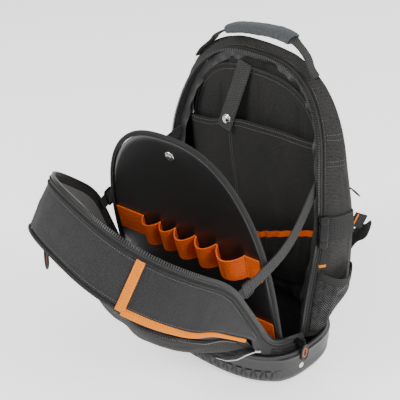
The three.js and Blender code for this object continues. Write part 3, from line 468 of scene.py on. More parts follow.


# the base's rubber: satin, with scuffs in patches, and lighter and rougher below 27 mm, over its tread
def rubberLook(name, base, scuff):
    look = Look(name, 0.4, coat=0.15, specular=0.45)
    height = Wire(look, look.node("ShaderNodeSeparateXYZ", {}, {0: look.place()}).outputs[2]) * 1000
    worn = look.clip((look.noise(14, 6, 0.7) - 0.5) * 4)
    low = look.clip((27 - height) * 0.12)
    look.give("Base Color", look.blend(look.clip(worn * 0.35 + low * 0.5), base, scuff))
    look.give("Roughness", look.clip(look.noise(40, 4) * 0.14 + worn * 0.1 + low * 0.18 + 0.33))
    look.bump(look.noise(900, 1) + look.noise(30, 2) * 0.8, 0.00018)
    return look.material


# net: round holes on a grid of threads, with a pale thread every few diagonals
def netLook(name, dark, pale, hole=3.4):
    look = Look(name, 0.7, specular=0.3)
    u, v = look.cloth()
    a, b = look.sine((u + v) * (pi / hole)), look.sine((u - v) * (pi / hole))
    threads = look.maths("MAXIMUM", 1 - look.maths("ABSOLUTE", a), 1 - look.maths("ABSOLUTE", b))
    bend = look.maths("PINGPONG", u, 9)
    line = look.clip((look.sine((v - bend * 0.9) * (2 * pi / hole)) - 0.2) * 3)
    line = line * look.clip(look.noise(50, 3) * 3 - 0.9)
    solid = look.clip((threads - 0.35) * 7 + line)
    look.give("Alpha", look.clip(solid * 0.7 + 0.3))
    look.give("Base Color", look.blend(line, dark, pale))
    look.bump(threads + line, 0.0010)
    return look.material


# colours of the cloths as (dark, light) of their threads
clothTone = {
    "plain": ((0.0065, 0.0062, 0.0058), (0.030, 0.029, 0.028)),
    "side": ((0.010, 0.0098, 0.0094), (0.052, 0.050, 0.048)),
    "pocket": ((0.007, 0.0068, 0.0064), (0.032, 0.031, 0.029)),
    "satin": ((0.012, 0.012, 0.012), (0.036, 0.035, 0.034)),
    "lining": ((0.10, 0.098, 0.094), (0.20, 0.195, 0.19)),
    "soft": ((0.010, 0.010, 0.010), (0.042, 0.042, 0.043)),
    "moulded": ((0.012, 0.012, 0.0125), (0.040, 0.040, 0.041)),
    "grip": ((0.030, 0.033, 0.036), (0.078, 0.084, 0.089)),
}
blackCloth = wovenLook("blackCloth", *clothTone["plain"], 2.0, sheen=0.04)
sideCloth = wovenLook("sideCloth", *clothTone["side"], 2.6, depth=0.0012, sheen=0.05)
backLining = wovenLook("backLining", *clothTone["plain"], 2.0, sheen=0.04, onCloth=False)
pocketClothLook = wovenLook("pocketCloth", *clothTone["pocket"], 1.8, sheen=0.03)
satinCloth = wovenLook("satinCloth", *clothTone["satin"], 1.2, roughness=0.4, depth=0.0003, sheen=0,
                       specular=0.5)
liningCloth = wovenLook("liningCloth", *clothTone["lining"], 1.4, depth=0.0003)
softCloth = wovenLook("softCloth", *clothTone["soft"], 3.2, depth=0.0016, onCloth=False)
mouldedCloth = wovenLook("mouldedCloth", *clothTone["moulded"], 1.5, roughness=0.7, depth=0.0008, sheen=0.03)
gripCloth = wovenLook("gripCloth", *clothTone["grip"], 2.0)

# colours of webbing, elastic and tape as (dark, light) of their ribs
webbingTone = {
    "grey": ((0.005, 0.005, 0.005), (0.060, 0.059, 0.057)),
    "black": ((0.006, 0.006, 0.006), (0.036, 0.035, 0.034)),
    "orange": ((0.74, 0.16, 0.0), (0.98, 0.31, 0.0)),
    "elastic": ((0.62, 0.065, 0.0), (0.95, 0.16, 0.004)),
    "tape": ((0.006, 0.006, 0.006), (0.034, 0.033, 0.032)),
    "piping": ((0.008, 0.008, 0.008), (0.056, 0.055, 0.053)),
}
greyWebbing = webbingLook("greyWebbing", *webbingTone["grey"], rib=3.4)
blackWebbing = webbingLook("blackWebbing", *webbingTone["black"], rib=3.0)
orangeWebbing = webbingLook("orangeWebbing", *webbingTone["orange"], rib=3.0, sheen=0)
orangeElastic = webbingLook("orangeElastic", *webbingTone["elastic"], rib=3.4, sheen=0)
cordBlack = webbingLook("cordBlack", *webbingTone["tape"], rib=2.4)
cordGrey = webbingLook("cordGrey", *webbingTone["piping"], rib=2.4)

rubber = rubberLook("rubber", (0.015, 0.0155, 0.0155), (0.036, 0.0365, 0.0365))
glossBoard = mouldedLook("glossBoard", (0.006, 0.006, 0.006), (0.020, 0.020, 0.020), 0.38, grain=7,
                         depth=0.003, coat=0.15, amount=0.3, wave=0, specular=0.9)
blackPlastic = mouldedLook("blackPlastic", (0.006, 0.006, 0.006), (0.022, 0.022, 0.022), 0.4, specular=0.25)
toothPlastic = mouldedLook("toothPlastic", (0.026, 0.0255, 0.025), (0.07, 0.07, 0.07), 0.35)
orangeRubber = mouldedLook("orangeRubber", (0.80, 0.14, 0.0), (0.9, 0.25, 0.02), 0.5)
silverPiping = mouldedLook("silverPiping", (0.62, 0.64, 0.66), (0.35, 0.35, 0.36), 0.3)
snapMetal = mouldedLook("snapMetal", (0.62, 0.62, 0.62), (0.35, 0.35, 0.35), 0.25)
snapMetal.node_tree.nodes["Principled BSDF"].inputs["Metallic"].default_value = 1
rivetPlastic = mouldedLook("rivetPlastic", (0.80, 0.80, 0.78), (0.6, 0.6, 0.58), 0.4)
netCloth = netLook("netCloth", (0.007, 0.007, 0.007), (0.15, 0.15, 0.148))
threadDark = mouldedLook("threadDark", (0.11, 0.108, 0.104), (0.16, 0.16, 0.15), 0.7)
threadOrange = mouldedLook("threadOrange", (0.85, 0.33, 0.05), (0.95, 0.5, 0.12), 0.7)

print("looks made")


# arch outline by a share from its right foot over the top to its left foot:
# a straight leg, then x = w * cos(a) ** (2 / power), v = straight + h * sin(a) ** (2 / power)
def arch(s, halfWidth, height, straight, power):
    side = np.where(s <= 0.5, 1.0, -1.0)
    run = 1 - np.abs(2 * s - 1)
    leg = 0.3
    angle = np.clip((run - leg) / (1 - leg), 0, 1) * pi / 2
    x = np.where(run < leg, halfWidth, halfWidth * np.maximum(np.cos(angle), 0) ** (2 / power))
    rise = straight + (height - straight) * np.sin(angle) ** (2 / power)
    return side * x, np.where(run < leg, straight * run / leg, rise)


# shares of an arch that stand an even way apart along its outline
def evenShares(count, *shape, low=0.0, high=1.0):
    s = np.linspace(low, high, 4001)
    x, v = arch(s, *shape)
    run = np.concatenate([[0], np.cumsum(np.hypot(np.diff(x), np.diff(v)))])
    return np.interp(np.linspace(0, run[-1], count), run, s)


# the body leans over as it rises: x - slouch * smooth((z - foot) / rise)
def slouched(p):
    shift = bodySlouch * smooth((p[..., 2] - slouchFoot) / slouchRise)
    return p - stack(shift, 0 * shift, 0 * shift)


# a point over the base is brought to the base's outline by a share
def seatOnBase(p, inset, share):
    x = np.abs(p[..., 0]) / (baseHalfWidth - inset)
    y = np.abs(p[..., 1] - baseCentreY) / (baseHalfDepth - inset)
    scale = np.maximum(x**basePower + y**basePower, 1e-9) ** (-1 / basePower)
    amount = mix(1, scale, share)
    return stack(p[..., 0] * amount, baseCentreY + (p[..., 1] - baseCentreY) * amount, p[..., 2])


# the cloth body by a share round its arch and a depth from the zip to the back
def bodyPoint(s, depth, grow=0.0, setBack=0.0):
    x0, v0 = arch(s, rimHalfWidth + grow, rimLength + grow, rimStraight, rimPower)
    x1, v1 = arch(s, bodyHalfWidth + grow, bodyTop - footZ + grow, rimStraight, rimPower)
    lean = rimLean * degree
    front = stack(x0, rimFootY + setBack + v0 * math.sin(lean), footZ + v0 * math.cos(lean))
    rear = stack(x1, bodyBackY, footZ + v1)
    depth = np.asarray(depth, float)
    p = front + (rear - front) * depth[..., None]
    swell = np.interp(depth, [0, 0.12, 0.25, 0.4, 0.55, 0.7, 0.85, 0.95, 1],
                      [0, 0.42, 0.75, 0.92, 1, 0.95, 0.8, 0.45, 0.1])
    seat = np.interp(depth, [0, 0.12, 0.25, 0.4, 0.55, 1], [0.1, 0.45, 0.75, 0.92, 1, 1])
    out = unit(stack(p[..., 0] / bodyHalfWidth, 0, np.clip((v0 - rimStraight) / rimLength, 0, None)))
    p = p + out * (swell * wallSwell)[..., None]
    low = 1 - smooth((p[..., 2] - baseHeight) / waistRise)
    return seatOnBase(p, baseWall + seatGap - grow, low * seat)


bodyArch = (rimHalfWidth, rimLength, rimStraight, rimPower)
bodyShares = evenShares(300, *bodyArch)
archRun = 1150  # length of the body's arch, for waves along it
setBack = zipWidth + gap


# share of the arch at which a side of the body reaches a height
def shareAtHeight(height, depth, right=True):
    s = np.linspace(0, 0.5, 2001) if right else np.linspace(1, 0.5, 2001)
    z = bodyPoint(s, np.full_like(s, depth), 0, setBack)[:, 2]
    return np.interp(height, z, s)


# outline of the base by an angle, drawn in by an inset and scaled towards its centre
def baseOutline(angle, inset, share=1.0):
    c, s = np.cos(angle), np.sin(angle)
    x = (baseHalfWidth - inset) * np.sign(c) * np.abs(c) ** (2 / basePower)
    y = (baseHalfDepth - inset) * np.sign(s) * np.abs(s) ** (2 / basePower)
    return x * share, baseCentreY + y * share


# angles an even way apart along the base's outline, their distances and its whole length
def evenAngles(count):
    turn = np.linspace(0, 2 * pi, 20001)
    x, y = baseOutline(turn, 0)
    run = np.concatenate([[0], np.cumsum(np.hypot(np.diff(x), np.diff(y)))])
    at = np.linspace(0, run[-1], count, endpoint=False)
    return np.interp(at, run, turn), at, run[-1]


base = {"columns": 900, "treadFoot": 4, "treadTop": 25, "treadCount": 62, "treadDepth": 2.2, "bead": 0.8}


# the rubber base: rings of one outline, with a band of raised triangles low on its outside
def baseShell():
    turn, run, total = evenAngles(base["columns"])
    bend = np.linspace(0, pi / 2, 18)
    outside = [(0, baseEdgeRound * 0.9, k) for k in (0.01, 0.5, 0.9)]
    outside += [(baseEdgeRound * (1 - math.cos(a)), baseEdgeRound * 0.9 * (1 - math.sin(a)), 1) for a in bend]
    outside += [(z, 0, 1) for z in np.linspace(baseEdgeRound + 0.7, 28, 20)]
    outside += [(z, 0, 1) for z in np.linspace(29, baseHeight - 5, 14)]
    lip = [(baseHeight - 5 + 5 * math.sin(a), 1.6 * (1 - math.cos(a)), 1) for a in np.linspace(0.2, pi / 2, 7)]
    inside = [(baseHeight, baseWall - 0.6, 1), (baseHeight - 1, baseWall, 1),
              (baseFloor + baseEdgeRound, baseWall, 1), (baseFloor + 4, baseWall + 2.4, 1)]
    inside += [(baseFloor, baseWall + 8.4, k) for k in (1, 0.5, 0.01)]
    rows = np.array(outside + lip + inside)
    z, inset, share = (rows[:, k][:, None] for k in range(3))
    x, y = baseOutline(turn[None], inset, share)
    out = unit(stack(x / baseHalfWidth**2, (y - baseCentreY) / baseHalfDepth**2, 0 * x))
    up = (z - base["treadFoot"]) / (base["treadTop"] - base["treadFoot"])
    across = np.abs(2 * ((run[None] / total * base["treadCount"]) % 1) - 1)
    raised = np.clip((1 - up - across) * 4, 0, 1) * smooth(up * 5)
    hollow = np.clip((up - 1.12 + across) * 4, 0, 1) * smooth((1.02 - up) * 12)
    ahead = smooth((-62 - y) / 18)
    raised = np.maximum(raised, hollow) * ahead + (1 - ahead)
    band = smooth(up * 6 + 0.6) * smooth((1.08 - up) * 12)
    onOutside = (np.arange(len(rows)) < len(outside))[:, None]
    lift = (raised * base["treadDepth"] - band * base["treadDepth"] * 0.6) * onOutside * (share == 1)
    bead = base["bead"] * np.exp(-(((z - baseHeight + 6) / 2.2) ** 2)) * onOutside
    rings = stack(x, y, z + 0 * x) + out * (lift + bead)[..., None]
    return loft("base_shell", rings, rubber, replaces=["base_tub"], sharp=35)


# thin black lining that covers the inside of the base
def baseLiner():
    turn = evenAngles(260)[0]
    rows = [(baseHeight - 1.5, 4.5, 1), (40, 4.6, 1), (baseFloor + 15, 4.7, 1), (baseFloor + 5, 7.2, 1)]
    rows += [(baseFloor + 0.9, 13, 1)] + [(baseFloor + 0.7, 13, k) for k in (0.9, 0.5, 0.01)]
    rows = np.array(rows)
    z, inset, share = (rows[:, k][:, None] for k in range(3))
    x, y = baseOutline(turn[None], inset, share)
    xi, yi = baseOutline(turn[None], inset + 0.9, share)
    lift = np.where(z < 12, 0.9, 0)
    return wall("base_liner", stack(x, y, z + 0 * x), stack(xi, yi, z + lift + 0 * x), blackCloth, wrap=True)


baseShell()
baseLiner()
print("base made")


bodyFolds = {"foot": 62, "rise": 30, "level": 92, "spread": 20}


# outside of the body: its point plus (ripples + cosine folds near a level) * a share that dies out at the base
def bodyOutside(s, depth, grow):
    p = bodyPoint(s, depth, grow, setBack)
    run = s * archRun
    free = smooth((p[..., 2] - bodyFolds["foot"]) / bodyFolds["rise"])
    free = free * np.sin(pi * np.clip(depth, 0, 1)) ** 0.7
    wave = ripples(run, depth * 90, 75, 3) * 0.9 + ripples(run, depth * 90, 28, 8) * 0.35
    near = np.exp(-(((p[..., 2] - bodyFolds["level"]) / bodyFolds["spread"]) ** 2))
    folds = near * np.cos(p[..., 2] * 0.42 + depth * 3)
    out = unit(stack(p[..., 0] / bodyHalfWidth, 0, np.clip((p[..., 2] - 180) / 260, 0, None)))
    return slouched(p + out * ((wave + folds) * free)[..., None])


s, depth = np.meshgrid(bodyShares, np.linspace(0, 1, 40))
bodyGrid = bodyOutside(s, depth, 0)
cut(wall("body_cloth", bodyGrid, bodyOutside(s, depth, -clothWall + 0.7), sideCloth,
         replaces=["body_wall"]), bodyGrid)
wall("body_inside", bodyOutside(s, depth, -clothWall + 0.6)[1:-1], bodyOutside(s, depth, -clothWall)[1:-1],
     satinCloth)
edge = bodyPoint(bodyShares, np.ones_like(bodyShares), -3.6, setBack) + np.array([0, -0.6, 0])
tube("back_edge_binding", slouched(edge), 5.2, cordBlack, sides=12)
for level in (0.06, 0.94):
    line = bodyOutside(bodyShares, np.full_like(bodyShares, level), 0.15)
    stitch(line[6:-6], unit(line - np.array([0, 60, 180]))[6:-6])
seamHeights, seamStep = (332, 296, 96), 7
coarse, fine = np.linspace(0.06, 0.94, 8), np.linspace(0.06, 0.94, 60)
for height in seamHeights:
    for right in (True, False):
        for step in (0, seamStep):
            share = np.array([shareAtHeight(height + step, k, right) for k in coarse])
            line = bodyOutside(np.interp(fine, coarse, share), fine, 0.15)
            stitch(line, [1 if right else -1, 0, 0.1])


zipPiping = 1.5


# zip tape on the body: a band back from the edge of the opening
def bodyTape():
    s, w = np.meshgrid(bodyShares, np.linspace(0, zipWidth, 9))
    crown = 0.5 * np.sin(pi * w / zipWidth)
    outer = bodyPoint(s, np.zeros_like(s), 0.4, w)
    inner = bodyPoint(s, np.zeros_like(s), -3.2, w)
    out = unit(outer - inner)
    wall("body_tape", slouched(outer + out * crown[..., None]), slouched(inner), cordBlack,
         replaces=["body_zip"])
    line = slouched(bodyPoint(bodyShares, np.zeros_like(bodyShares), -1.2, 0))
    teeth("body_teeth", line, np.broadcast_to([0.0, -1.0, 0.15], line.shape))
    for name, back, grow, look in (("body_piping_front", 3.2, 1.0, cordGrey),
                                   ("body_piping_back", zipWidth + 0.2, 1.4, cordBlack)):
        line = slouched(bodyPoint(bodyShares, np.zeros_like(bodyShares), grow, back))
        tube(name, line, zipPiping, look, sides=8)


bodyTape()


strip = {"from": 0.03, "to": 0.97, "inset": 4.4, "width": 12, "back": 8, "lean": 3, "wave": 2.4}


# wavy strip inside the zip: width * w inwards, and back by a sum of three sines that grows with w
def stormStrip():
    s = evenShares(360, *bodyArch, low=strip["from"], high=strip["to"])
    run = s * archRun
    s, w = np.meshgrid(s, np.linspace(0, 1, 8))
    wave = (np.sin(run / 17) + 0.7 * np.sin(run / 7.3 + 1) + 0.5 * np.sin(run / 31 + 2)) * strip["wave"]
    back = strip["back"] + strip["lean"] * w + wave[None] * w
    inwards = -strip["inset"] - strip["width"] * w
    front, rear = (bodyPoint(s, np.zeros_like(s), inwards, back + k) for k in (0, 1))
    wall("storm_strip", slouched(front), slouched(rear), satinCloth)


stormStrip()


# a value of every vertex or face of a mesh, as rows of three
def readRows(items, field):
    rows = np.empty(len(items) * 3)
    items.foreach_get(field, rows)
    return rows.reshape(-1, 3)


# padded piece: its solid is remeshed, blown up a little as cloth and rounded;
# no point goes further than the cap
def puffed(name, node, voxel, pressure, cap, fill):
    mesh = frame["nodes"][node].data.copy()
    mesh.materials.clear()
    mesh.materials.append(softCloth)
    piece = bpy.data.objects.new(name, mesh)
    scene.collection.objects.link(piece)
    bpy.context.view_layer.objects.active = piece
    for other in scene.objects:
        other.select_set(other == piece)
    remesh = piece.modifiers.new("remesh", "REMESH")
    remesh.mode = "VOXEL"
    remesh.voxel_size = voxel * mm
    bpy.ops.object.modifier_apply(modifier="remesh")
    before = readRows(piece.data.vertices, "co")
    after = before
    cloth = piece.modifiers.new("cloth", "CLOTH")
    cloth.settings.quality = 4
    cloth.settings.mass = 0.3
    cloth.settings.tension_stiffness = 20
    cloth.settings.compression_stiffness = 20
    cloth.settings.bending_stiffness = 0.6
    cloth.settings.use_pressure = True
    cloth.settings.uniform_pressure_force = pressure
    cloth.settings.effector_weights.gravity = 0
    for k in range(1, 21):
        scene.frame_set(k)
    done = piece.evaluated_get(bpy.context.evaluated_depsgraph_get()).data
    after = readRows(done.vertices, "co")
    piece.modifiers.remove(cloth)
    scene.frame_set(1)
    after = after - (after - before).mean(axis=0)
    move = after - before
    size = np.linalg.norm(move, axis=1, keepdims=True)
    placed = before + move * np.minimum(1, cap * mm / np.maximum(size, 1e-9))
    piece.data.vertices.foreach_set("co", placed.ravel())
    rounded = piece.modifiers.new("smooth", "SMOOTH")
    rounded.iterations = 6
    bpy.ops.object.modifier_apply(modifier="smooth")
    finer = piece.modifiers.new("finer", "SUBSURF")
    finer.levels = finer.render_levels = 1
    bpy.ops.object.modifier_apply(modifier="finer")
    piece.data.polygons.foreach_set("use_smooth", np.ones(len(piece.data.polygons), bool))
    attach(piece, "root")
    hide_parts(node)
    return piece


# sewn channels: the points near each line are drawn in by depth * exp(-(away / width) ** 2)
def channel(piece, lines, depth, width):
    co, normal = (readRows(piece.data.vertices, field) for field in ("co", "normal"))
    pull = np.zeros(len(co))
    for away in lines(co / mm):
        pull = np.maximum(pull, np.exp(-((away / width) ** 2)))
    co = co - normal * (pull * depth * mm)[:, None]
    piece.data.vertices.foreach_set("co", co.ravel())
    piece.data.update()


# faces of a padded piece that look forward get a second material
def lineFront(piece, material):
    piece.data.materials.append(material)
    ahead = readRows(piece.data.polygons, "normal")[:, 1] < -0.25
    piece.data.polygons.foreach_set("material_index", ahead.astype(np.int32))


padding = {"voxel": 5, "pressure": 3, "cap": 4, "fill": 0.5}
backChannels = {"side": 75, "low": 150, "high": 290, "depth": 3, "width": 6}
carryPadding = {"voxel": 4, "pressure": 3, "cap": 3, "fill": 0.6}

backPiece = puffed("back_padding", "back_panel", **padding)
channel(backPiece, lambda p: [p[:, 0], np.abs(p[:, 0]) - backChannels["side"],
                              (p[:, 2] - backChannels["low"]) * 0.8, (p[:, 2] - backChannels["high"]) * 0.8],
        backChannels["depth"], backChannels["width"])
lineFront(backPiece, backLining)
for name in ("right", "left"):
    puffed(f"carry_pad_{name}", f"shoulder_pad_{name}", **carryPadding)
print("padding made")


# half width of the room inside the body at a height
def roomHalfWidth(z):
    rise = np.clip((z - footZ - rimStraight) / (bodyTop - footZ - rimStraight), 0, 1)
    return (bodyHalfWidth - clothWall - 10) * (1 - rise**rimPower) ** (1 / rimPower)


# how far the waist over the base draws the back forward at a height
def backDraw(z):
    low = 1 - smooth((z - baseHeight) / waistRise)
    return low * (bodyBackY - baseCentreY - baseHalfDepth + baseWall + seatGap + clothWall)


pocketFoot = baseHeight + waistRise / 2


# a pocket's front by shares across and up: z from the foot to its edge, y in front of the back by a bulge
def pocketFront(t, up, half, top, y, bulge, bulgeRows, widthRows):
    z = mix(pocketFoot, top, up)
    out = bulge * np.interp(up, *bulgeRows) * np.sqrt(np.sin(pi * np.clip(t, 0.004, 0.996)))
    return stack(mix(-half, half, t) * np.interp(up, *widthRows), y - backDraw(z) - out, z)


bigPocket = {"top": 322, "bulge": 16, "cloth": 2, "hem": 13}


# big pocket: a pocket front whose edge dips at its ends, in low waves
def bigPocketFront(t, up):
    top = bigPocket["top"] * np.interp(t, [0, 0.1, 0.2, 0.32, 0.45, 0.6, 0.75, 1],
                                       [0.915, 0.925, 0.94, 0.975, 1, 1.009, 1.012, 1.0])
    half = float(roomHalfWidth(bigPocket["top"])) - 4
    p = pocketFront(t, up, half, top, backFaceY - bigPocket["cloth"] - 3 * gap, bigPocket["bulge"],
                    ([0, 0.1, 0.2, 0.45, 0.7, 1], [0, 0.3, 0.5, 0.75, 0.9, 1]),
                    ([0, 0.2, 0.7, 1], [0.72, 0.95, 1, 1]))
    wave = ripples(p[..., 0], p[..., 2] * 0.6, 55, 12) * 1.3 * np.sin(pi * np.clip(t, 0, 1)) ** 0.8
    return slouched(p - stack(0 * wave, np.maximum(wave + 0.6, -0.4), 0 * wave))


# a sheet pocket: two layers apart by its cloth, thicker at the hem
def pocketSheet(name, front, cols, rows, cloth, hem, height, node):
    t, up = np.meshgrid(np.linspace(0, 1, cols), 1 - (1 - np.linspace(0, 1, rows)) ** 1.4)
    grid = front(t, up)
    extra = smooth((up - 1 + hem / height) * height * 1.2) * 0.9
    ahead = grid - stack(0 * extra, cloth + extra, 0 * extra)
    cut(wall(name, ahead, grid, pocketClothLook, replaces=[node]), grid)


height = bigPocket["top"] - pocketFoot
pocketSheet("big_pocket_cloth", bigPocketFront, 130, 80, bigPocket["cloth"], bigPocket["hem"], height,
            "big_pocket")
for drop in (3, 10):
    t = np.linspace(0.01, 0.99, 160)
    line = bigPocketFront(t, np.full_like(t, 1 - drop / height)) - np.array([0, bigPocket["cloth"] + 1, 0])
    stitch(line, [0, -1, 0])
for t0 in (0.36, 0.375):
    up = np.linspace(0.02, 0.94, 120)
    stitch(bigPocketFront(np.full_like(up, t0), up) - np.array([0, bigPocket["cloth"] + 0.1, 0]), [0, -1, 0])

lowPocket = {"top": 192, "bulge": 34, "cloth": 2, "elastic": 9}


# low pocket: a pocket front with a sagging edge, gathered by a cosine of 19 turns towards its elastic
def lowPocketFront(t, up, lift=0.0):
    top = lowPocket["top"] * np.interp(t, [0, 0.25, 0.5, 0.6, 0.72, 0.86, 1],
                                       [0.86, 0.815, 0.8, 0.83, 0.9, 0.97, 1.02])
    half = float(roomHalfWidth(lowPocket["top"])) - 2
    p = pocketFront(t, up, half, top - lift, backFaceY - 2 * lowPocket["cloth"] - 4 * gap, lowPocket["bulge"],
                    ([0, 0.15, 0.3, 0.6, 1], [0.3, 0.52, 0.7, 0.88, 1]), ([0, 0.3, 1], [0.66, 0.86, 1]))
    gather = np.cos(t * 2 * pi * 19 + 2 * np.sin(t * 13)) * smooth((up - 0.35) / 0.6) * 1.6
    wave = ripples(p[..., 0], p[..., 2] * 0.5, 42, 5) * 1.4
    return slouched(p - stack(0 * wave, (wave + gather) * np.sin(pi * np.clip(t, 0, 1)) ** 0.6, 0 * wave))


room = lowPocket["elastic"] + gap
pocketSheet("low_pocket_cloth", lambda t, up: lowPocketFront(t, up, room), 180, 50, lowPocket["cloth"], 0.1,
            90, "low_pocket")
t, up = shares(220, 6)
grid = lowPocketFront(t, np.ones_like(up), 0) - stack(0 * up, 0 * up, (1 - up) * lowPocket["elastic"])
wall("low_pocket_edge", grid - np.array([0, 2.6, 0]), grid, orangeElastic, replaces=["low_pocket_elastic"])

innerPanel = {"top": 398, "inset": 22, "foot": 262, "cloth": 2, "power": 2.8}


# upper inside panel: width = half * (1 - v ** power) ** (1 / power)
def innerSheet():
    half = rimHalfWidth - innerPanel["inset"]
    tall = innerPanel["top"] - innerPanel["foot"]
    v, c = np.meshgrid(1 - (1 - np.linspace(0, 0.999, 50)) ** 1.6, np.linspace(-1, 1, 90), indexing="ij")
    wide = half * (1 - v ** innerPanel["power"]) ** (1 / innerPanel["power"])
    x, z = wide * c, innerPanel["foot"] + v * tall
    sag = ripples(x, z, 60, 21) * 0.7 * (1 - v) * (1 - c**2)
    back = slouched(stack(x, backFaceY - gap - np.maximum(sag, -0.2), z))
    wall("inner_panel_cloth", back - np.array([0, innerPanel["cloth"], 0]), back, pocketClothLook,
         replaces=["inner_panel"])
    turn = np.linspace(0.02, pi - 0.02, 240)
    x = half * np.sign(np.cos(turn)) * np.abs(np.cos(turn)) ** (2 / innerPanel["power"])
    z = innerPanel["foot"] + tall * np.sin(turn) ** (2 / innerPanel["power"])
    line = slouched(stack(x, backFaceY - 2, z))
    tube("inner_panel_piping", even(line, 240), 1.9, cordGrey, sides=8)
    line = stack(x * 0.95, backFaceY - gap - 2.6, mix(innerPanel["foot"], z, 0.95))
    stitch(even(slouched(line), 200), [0, -1, 0])


innerSheet()

closurePath = [(-21, -3, 404), (-26, -7, 380), (-34, -17, 340), (-41, -27, 302)]
closureLine = slouched(spline([(x, backFaceY + y, z) for x, y, z in closurePath], 60))
sweep("closure_webbing", closureLine, [1, 0, 0.16], section(13.5, 1.1, 7, 24), greyWebbing,
      replaces=["closure_strap"])


# a turned piece: rings of a profile of (radius, height) about an axis at a point
def turned(name, profile, point, axis, material, sides=40, **rest):
    axis = unit(np.asarray(axis, float))
    side = unit(np.cross(axis, [0.31, 0.57, 0.76]))
    other = np.cross(axis, side)
    turn = 2 * pi * np.arange(sides) / sides
    ring = side * np.cos(turn)[:, None] + other * np.sin(turn)[:, None]
    rings = np.array([point + axis * h + ring * max(r, 0.02) for r, h in profile])
    return loft(name, rings, material, **rest)


snapProfile = [(0, 0), (7, 0), (7.3, 0.6), (7, 1.4), (6.2, 1.9), (5.4, 1.8), (4.6, 2.4), (3.6, 3.4), (2, 3.9),
               (0, 4)]


# middle of a solid's box in millimetres
def boxCentre(node):
    low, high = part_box(node)
    return (np.array(low) + np.array(high)) / 2 / mm


way = unit(closureLine[-1] - closureLine[-12])
faceOut = unit(np.array([0, way[2], -way[1]]))
turned("closure_snap_cap", snapProfile, boxCentre("closure_snap") - faceOut * 2, faceOut, snapMetal,
       replaces=["closure_snap"])
print("inside made")

# the open flap: its rim leans by a table along its length
flapRun = np.linspace(0, 1, 481)
flapLean = np.interp(flapRun, [0, 0.115, 0.235, 0.51, 0.66, 1], [70.8, 70.8, 25.9, 25.9, 52.8, 52.8]) * degree
flapStep = flapLength / 480
flapY = flapFootY - np.concatenate([[0], np.cumsum(np.sin(flapLean[1:]) * flapStep)])
flapZ = flapFootZ + np.concatenate([[0], np.cumsum(np.cos(flapLean[1:]) * flapStep)])


# rim, outward direction and depth of the side band at a place of the flap's arch
def flapAt(x, v):
    share = v / flapLength
    lean = np.interp(share, flapRun, flapLean)
    out = stack(0 * lean, -np.cos(lean), -np.sin(lean))
    turn = flapTwist * degree * share
    flat = x * np.cos(turn)
    rim = stack(flat + v * math.sin(flapSkew * degree) * share,
                np.interp(share, flapRun, flapY) - flat * np.sin(flapYaw * degree * share),
                np.interp(share, flapRun, flapZ)) + out * (x * np.sin(turn))[..., None]
    return rim, out, share, gussetDepth * np.interp(share, [0, 0.18, 0.58, 1], [0.06, 0.06, 1, 1])


# the seam: rim + outward direction * depth, blended into the base's edge over the hinge
def flapSeam(x, v):
    rim, out, share, deep = flapAt(x, v)
    seam = rim + out * deep[..., None]
    inset = baseWall + 0.7 * seatGap + flapCloth / 2
    reach = np.clip(np.abs(rim[..., 1] - baseCentreY) / (baseHalfDepth - inset), 0, 1)
    edgeX = (baseHalfWidth - inset) * (1 - reach**basePower) ** (1 / basePower)
    edgeY = np.maximum(rim[..., 1], baseCentreY - baseHalfDepth + inset)
    edge = stack(np.sign(x) * edgeX, edgeY, footZ + 0 * x)
    free = smooth((share - 0.18) / (0.29 - 0.18))[..., None]
    return edge + (seam - edge) * free


flapArch = (flapHalfWidth, flapLength, flapStraight, flapPower)
flapShares = evenShares(380, *flapArch)
flapX, flapV = arch(flapShares, *flapArch)
seamShares = np.linspace(0, 1, 1201)


# the seam as sewn: the same line with its corners eased over a few centimetres
def easedSeam():
    line = flapSeam(*arch(seamShares, *flapArch))
    run = runLength(line)
    at = np.linspace(0, run[-1], 1201)
    line = follow(at, run, line)
    ends = line[[0, -1]]
    blur = np.exp(-((np.arange(-60, 61) / 24) ** 2))
    padded = np.concatenate([2 * ends[0] - line[60:0:-1], line, 2 * ends[1] - line[-2:-62:-1]])
    eased = np.stack([np.convolve(padded[:, k], blur / blur.sum(), "valid") for k in range(3)], axis=1)
    return follow(run, at, eased)


seamTable = easedSeam()


# the eased seam at a share of the arch
def seamAt(s):
    return follow(s, seamShares, seamTable)


rimLine, seamLine = flapAt(flapX, flapV)[0], seamAt(flapShares)
seamReach = np.linalg.norm(seamLine - rimLine, axis=1)


# the side band between two distances from the rim, negative ones from the seam
def band(first, last, rows, pick=slice(None)):
    start = np.where(first < 0, seamReach[pick] + first, first) / seamReach[pick]
    end = np.where(last < 0, seamReach[pick] + last, last) / seamReach[pick]
    t = mix(start, end, np.linspace(0, 1, rows)[:, None])
    return rimLine[pick] + (seamLine - rimLine)[pick] * t[..., None]


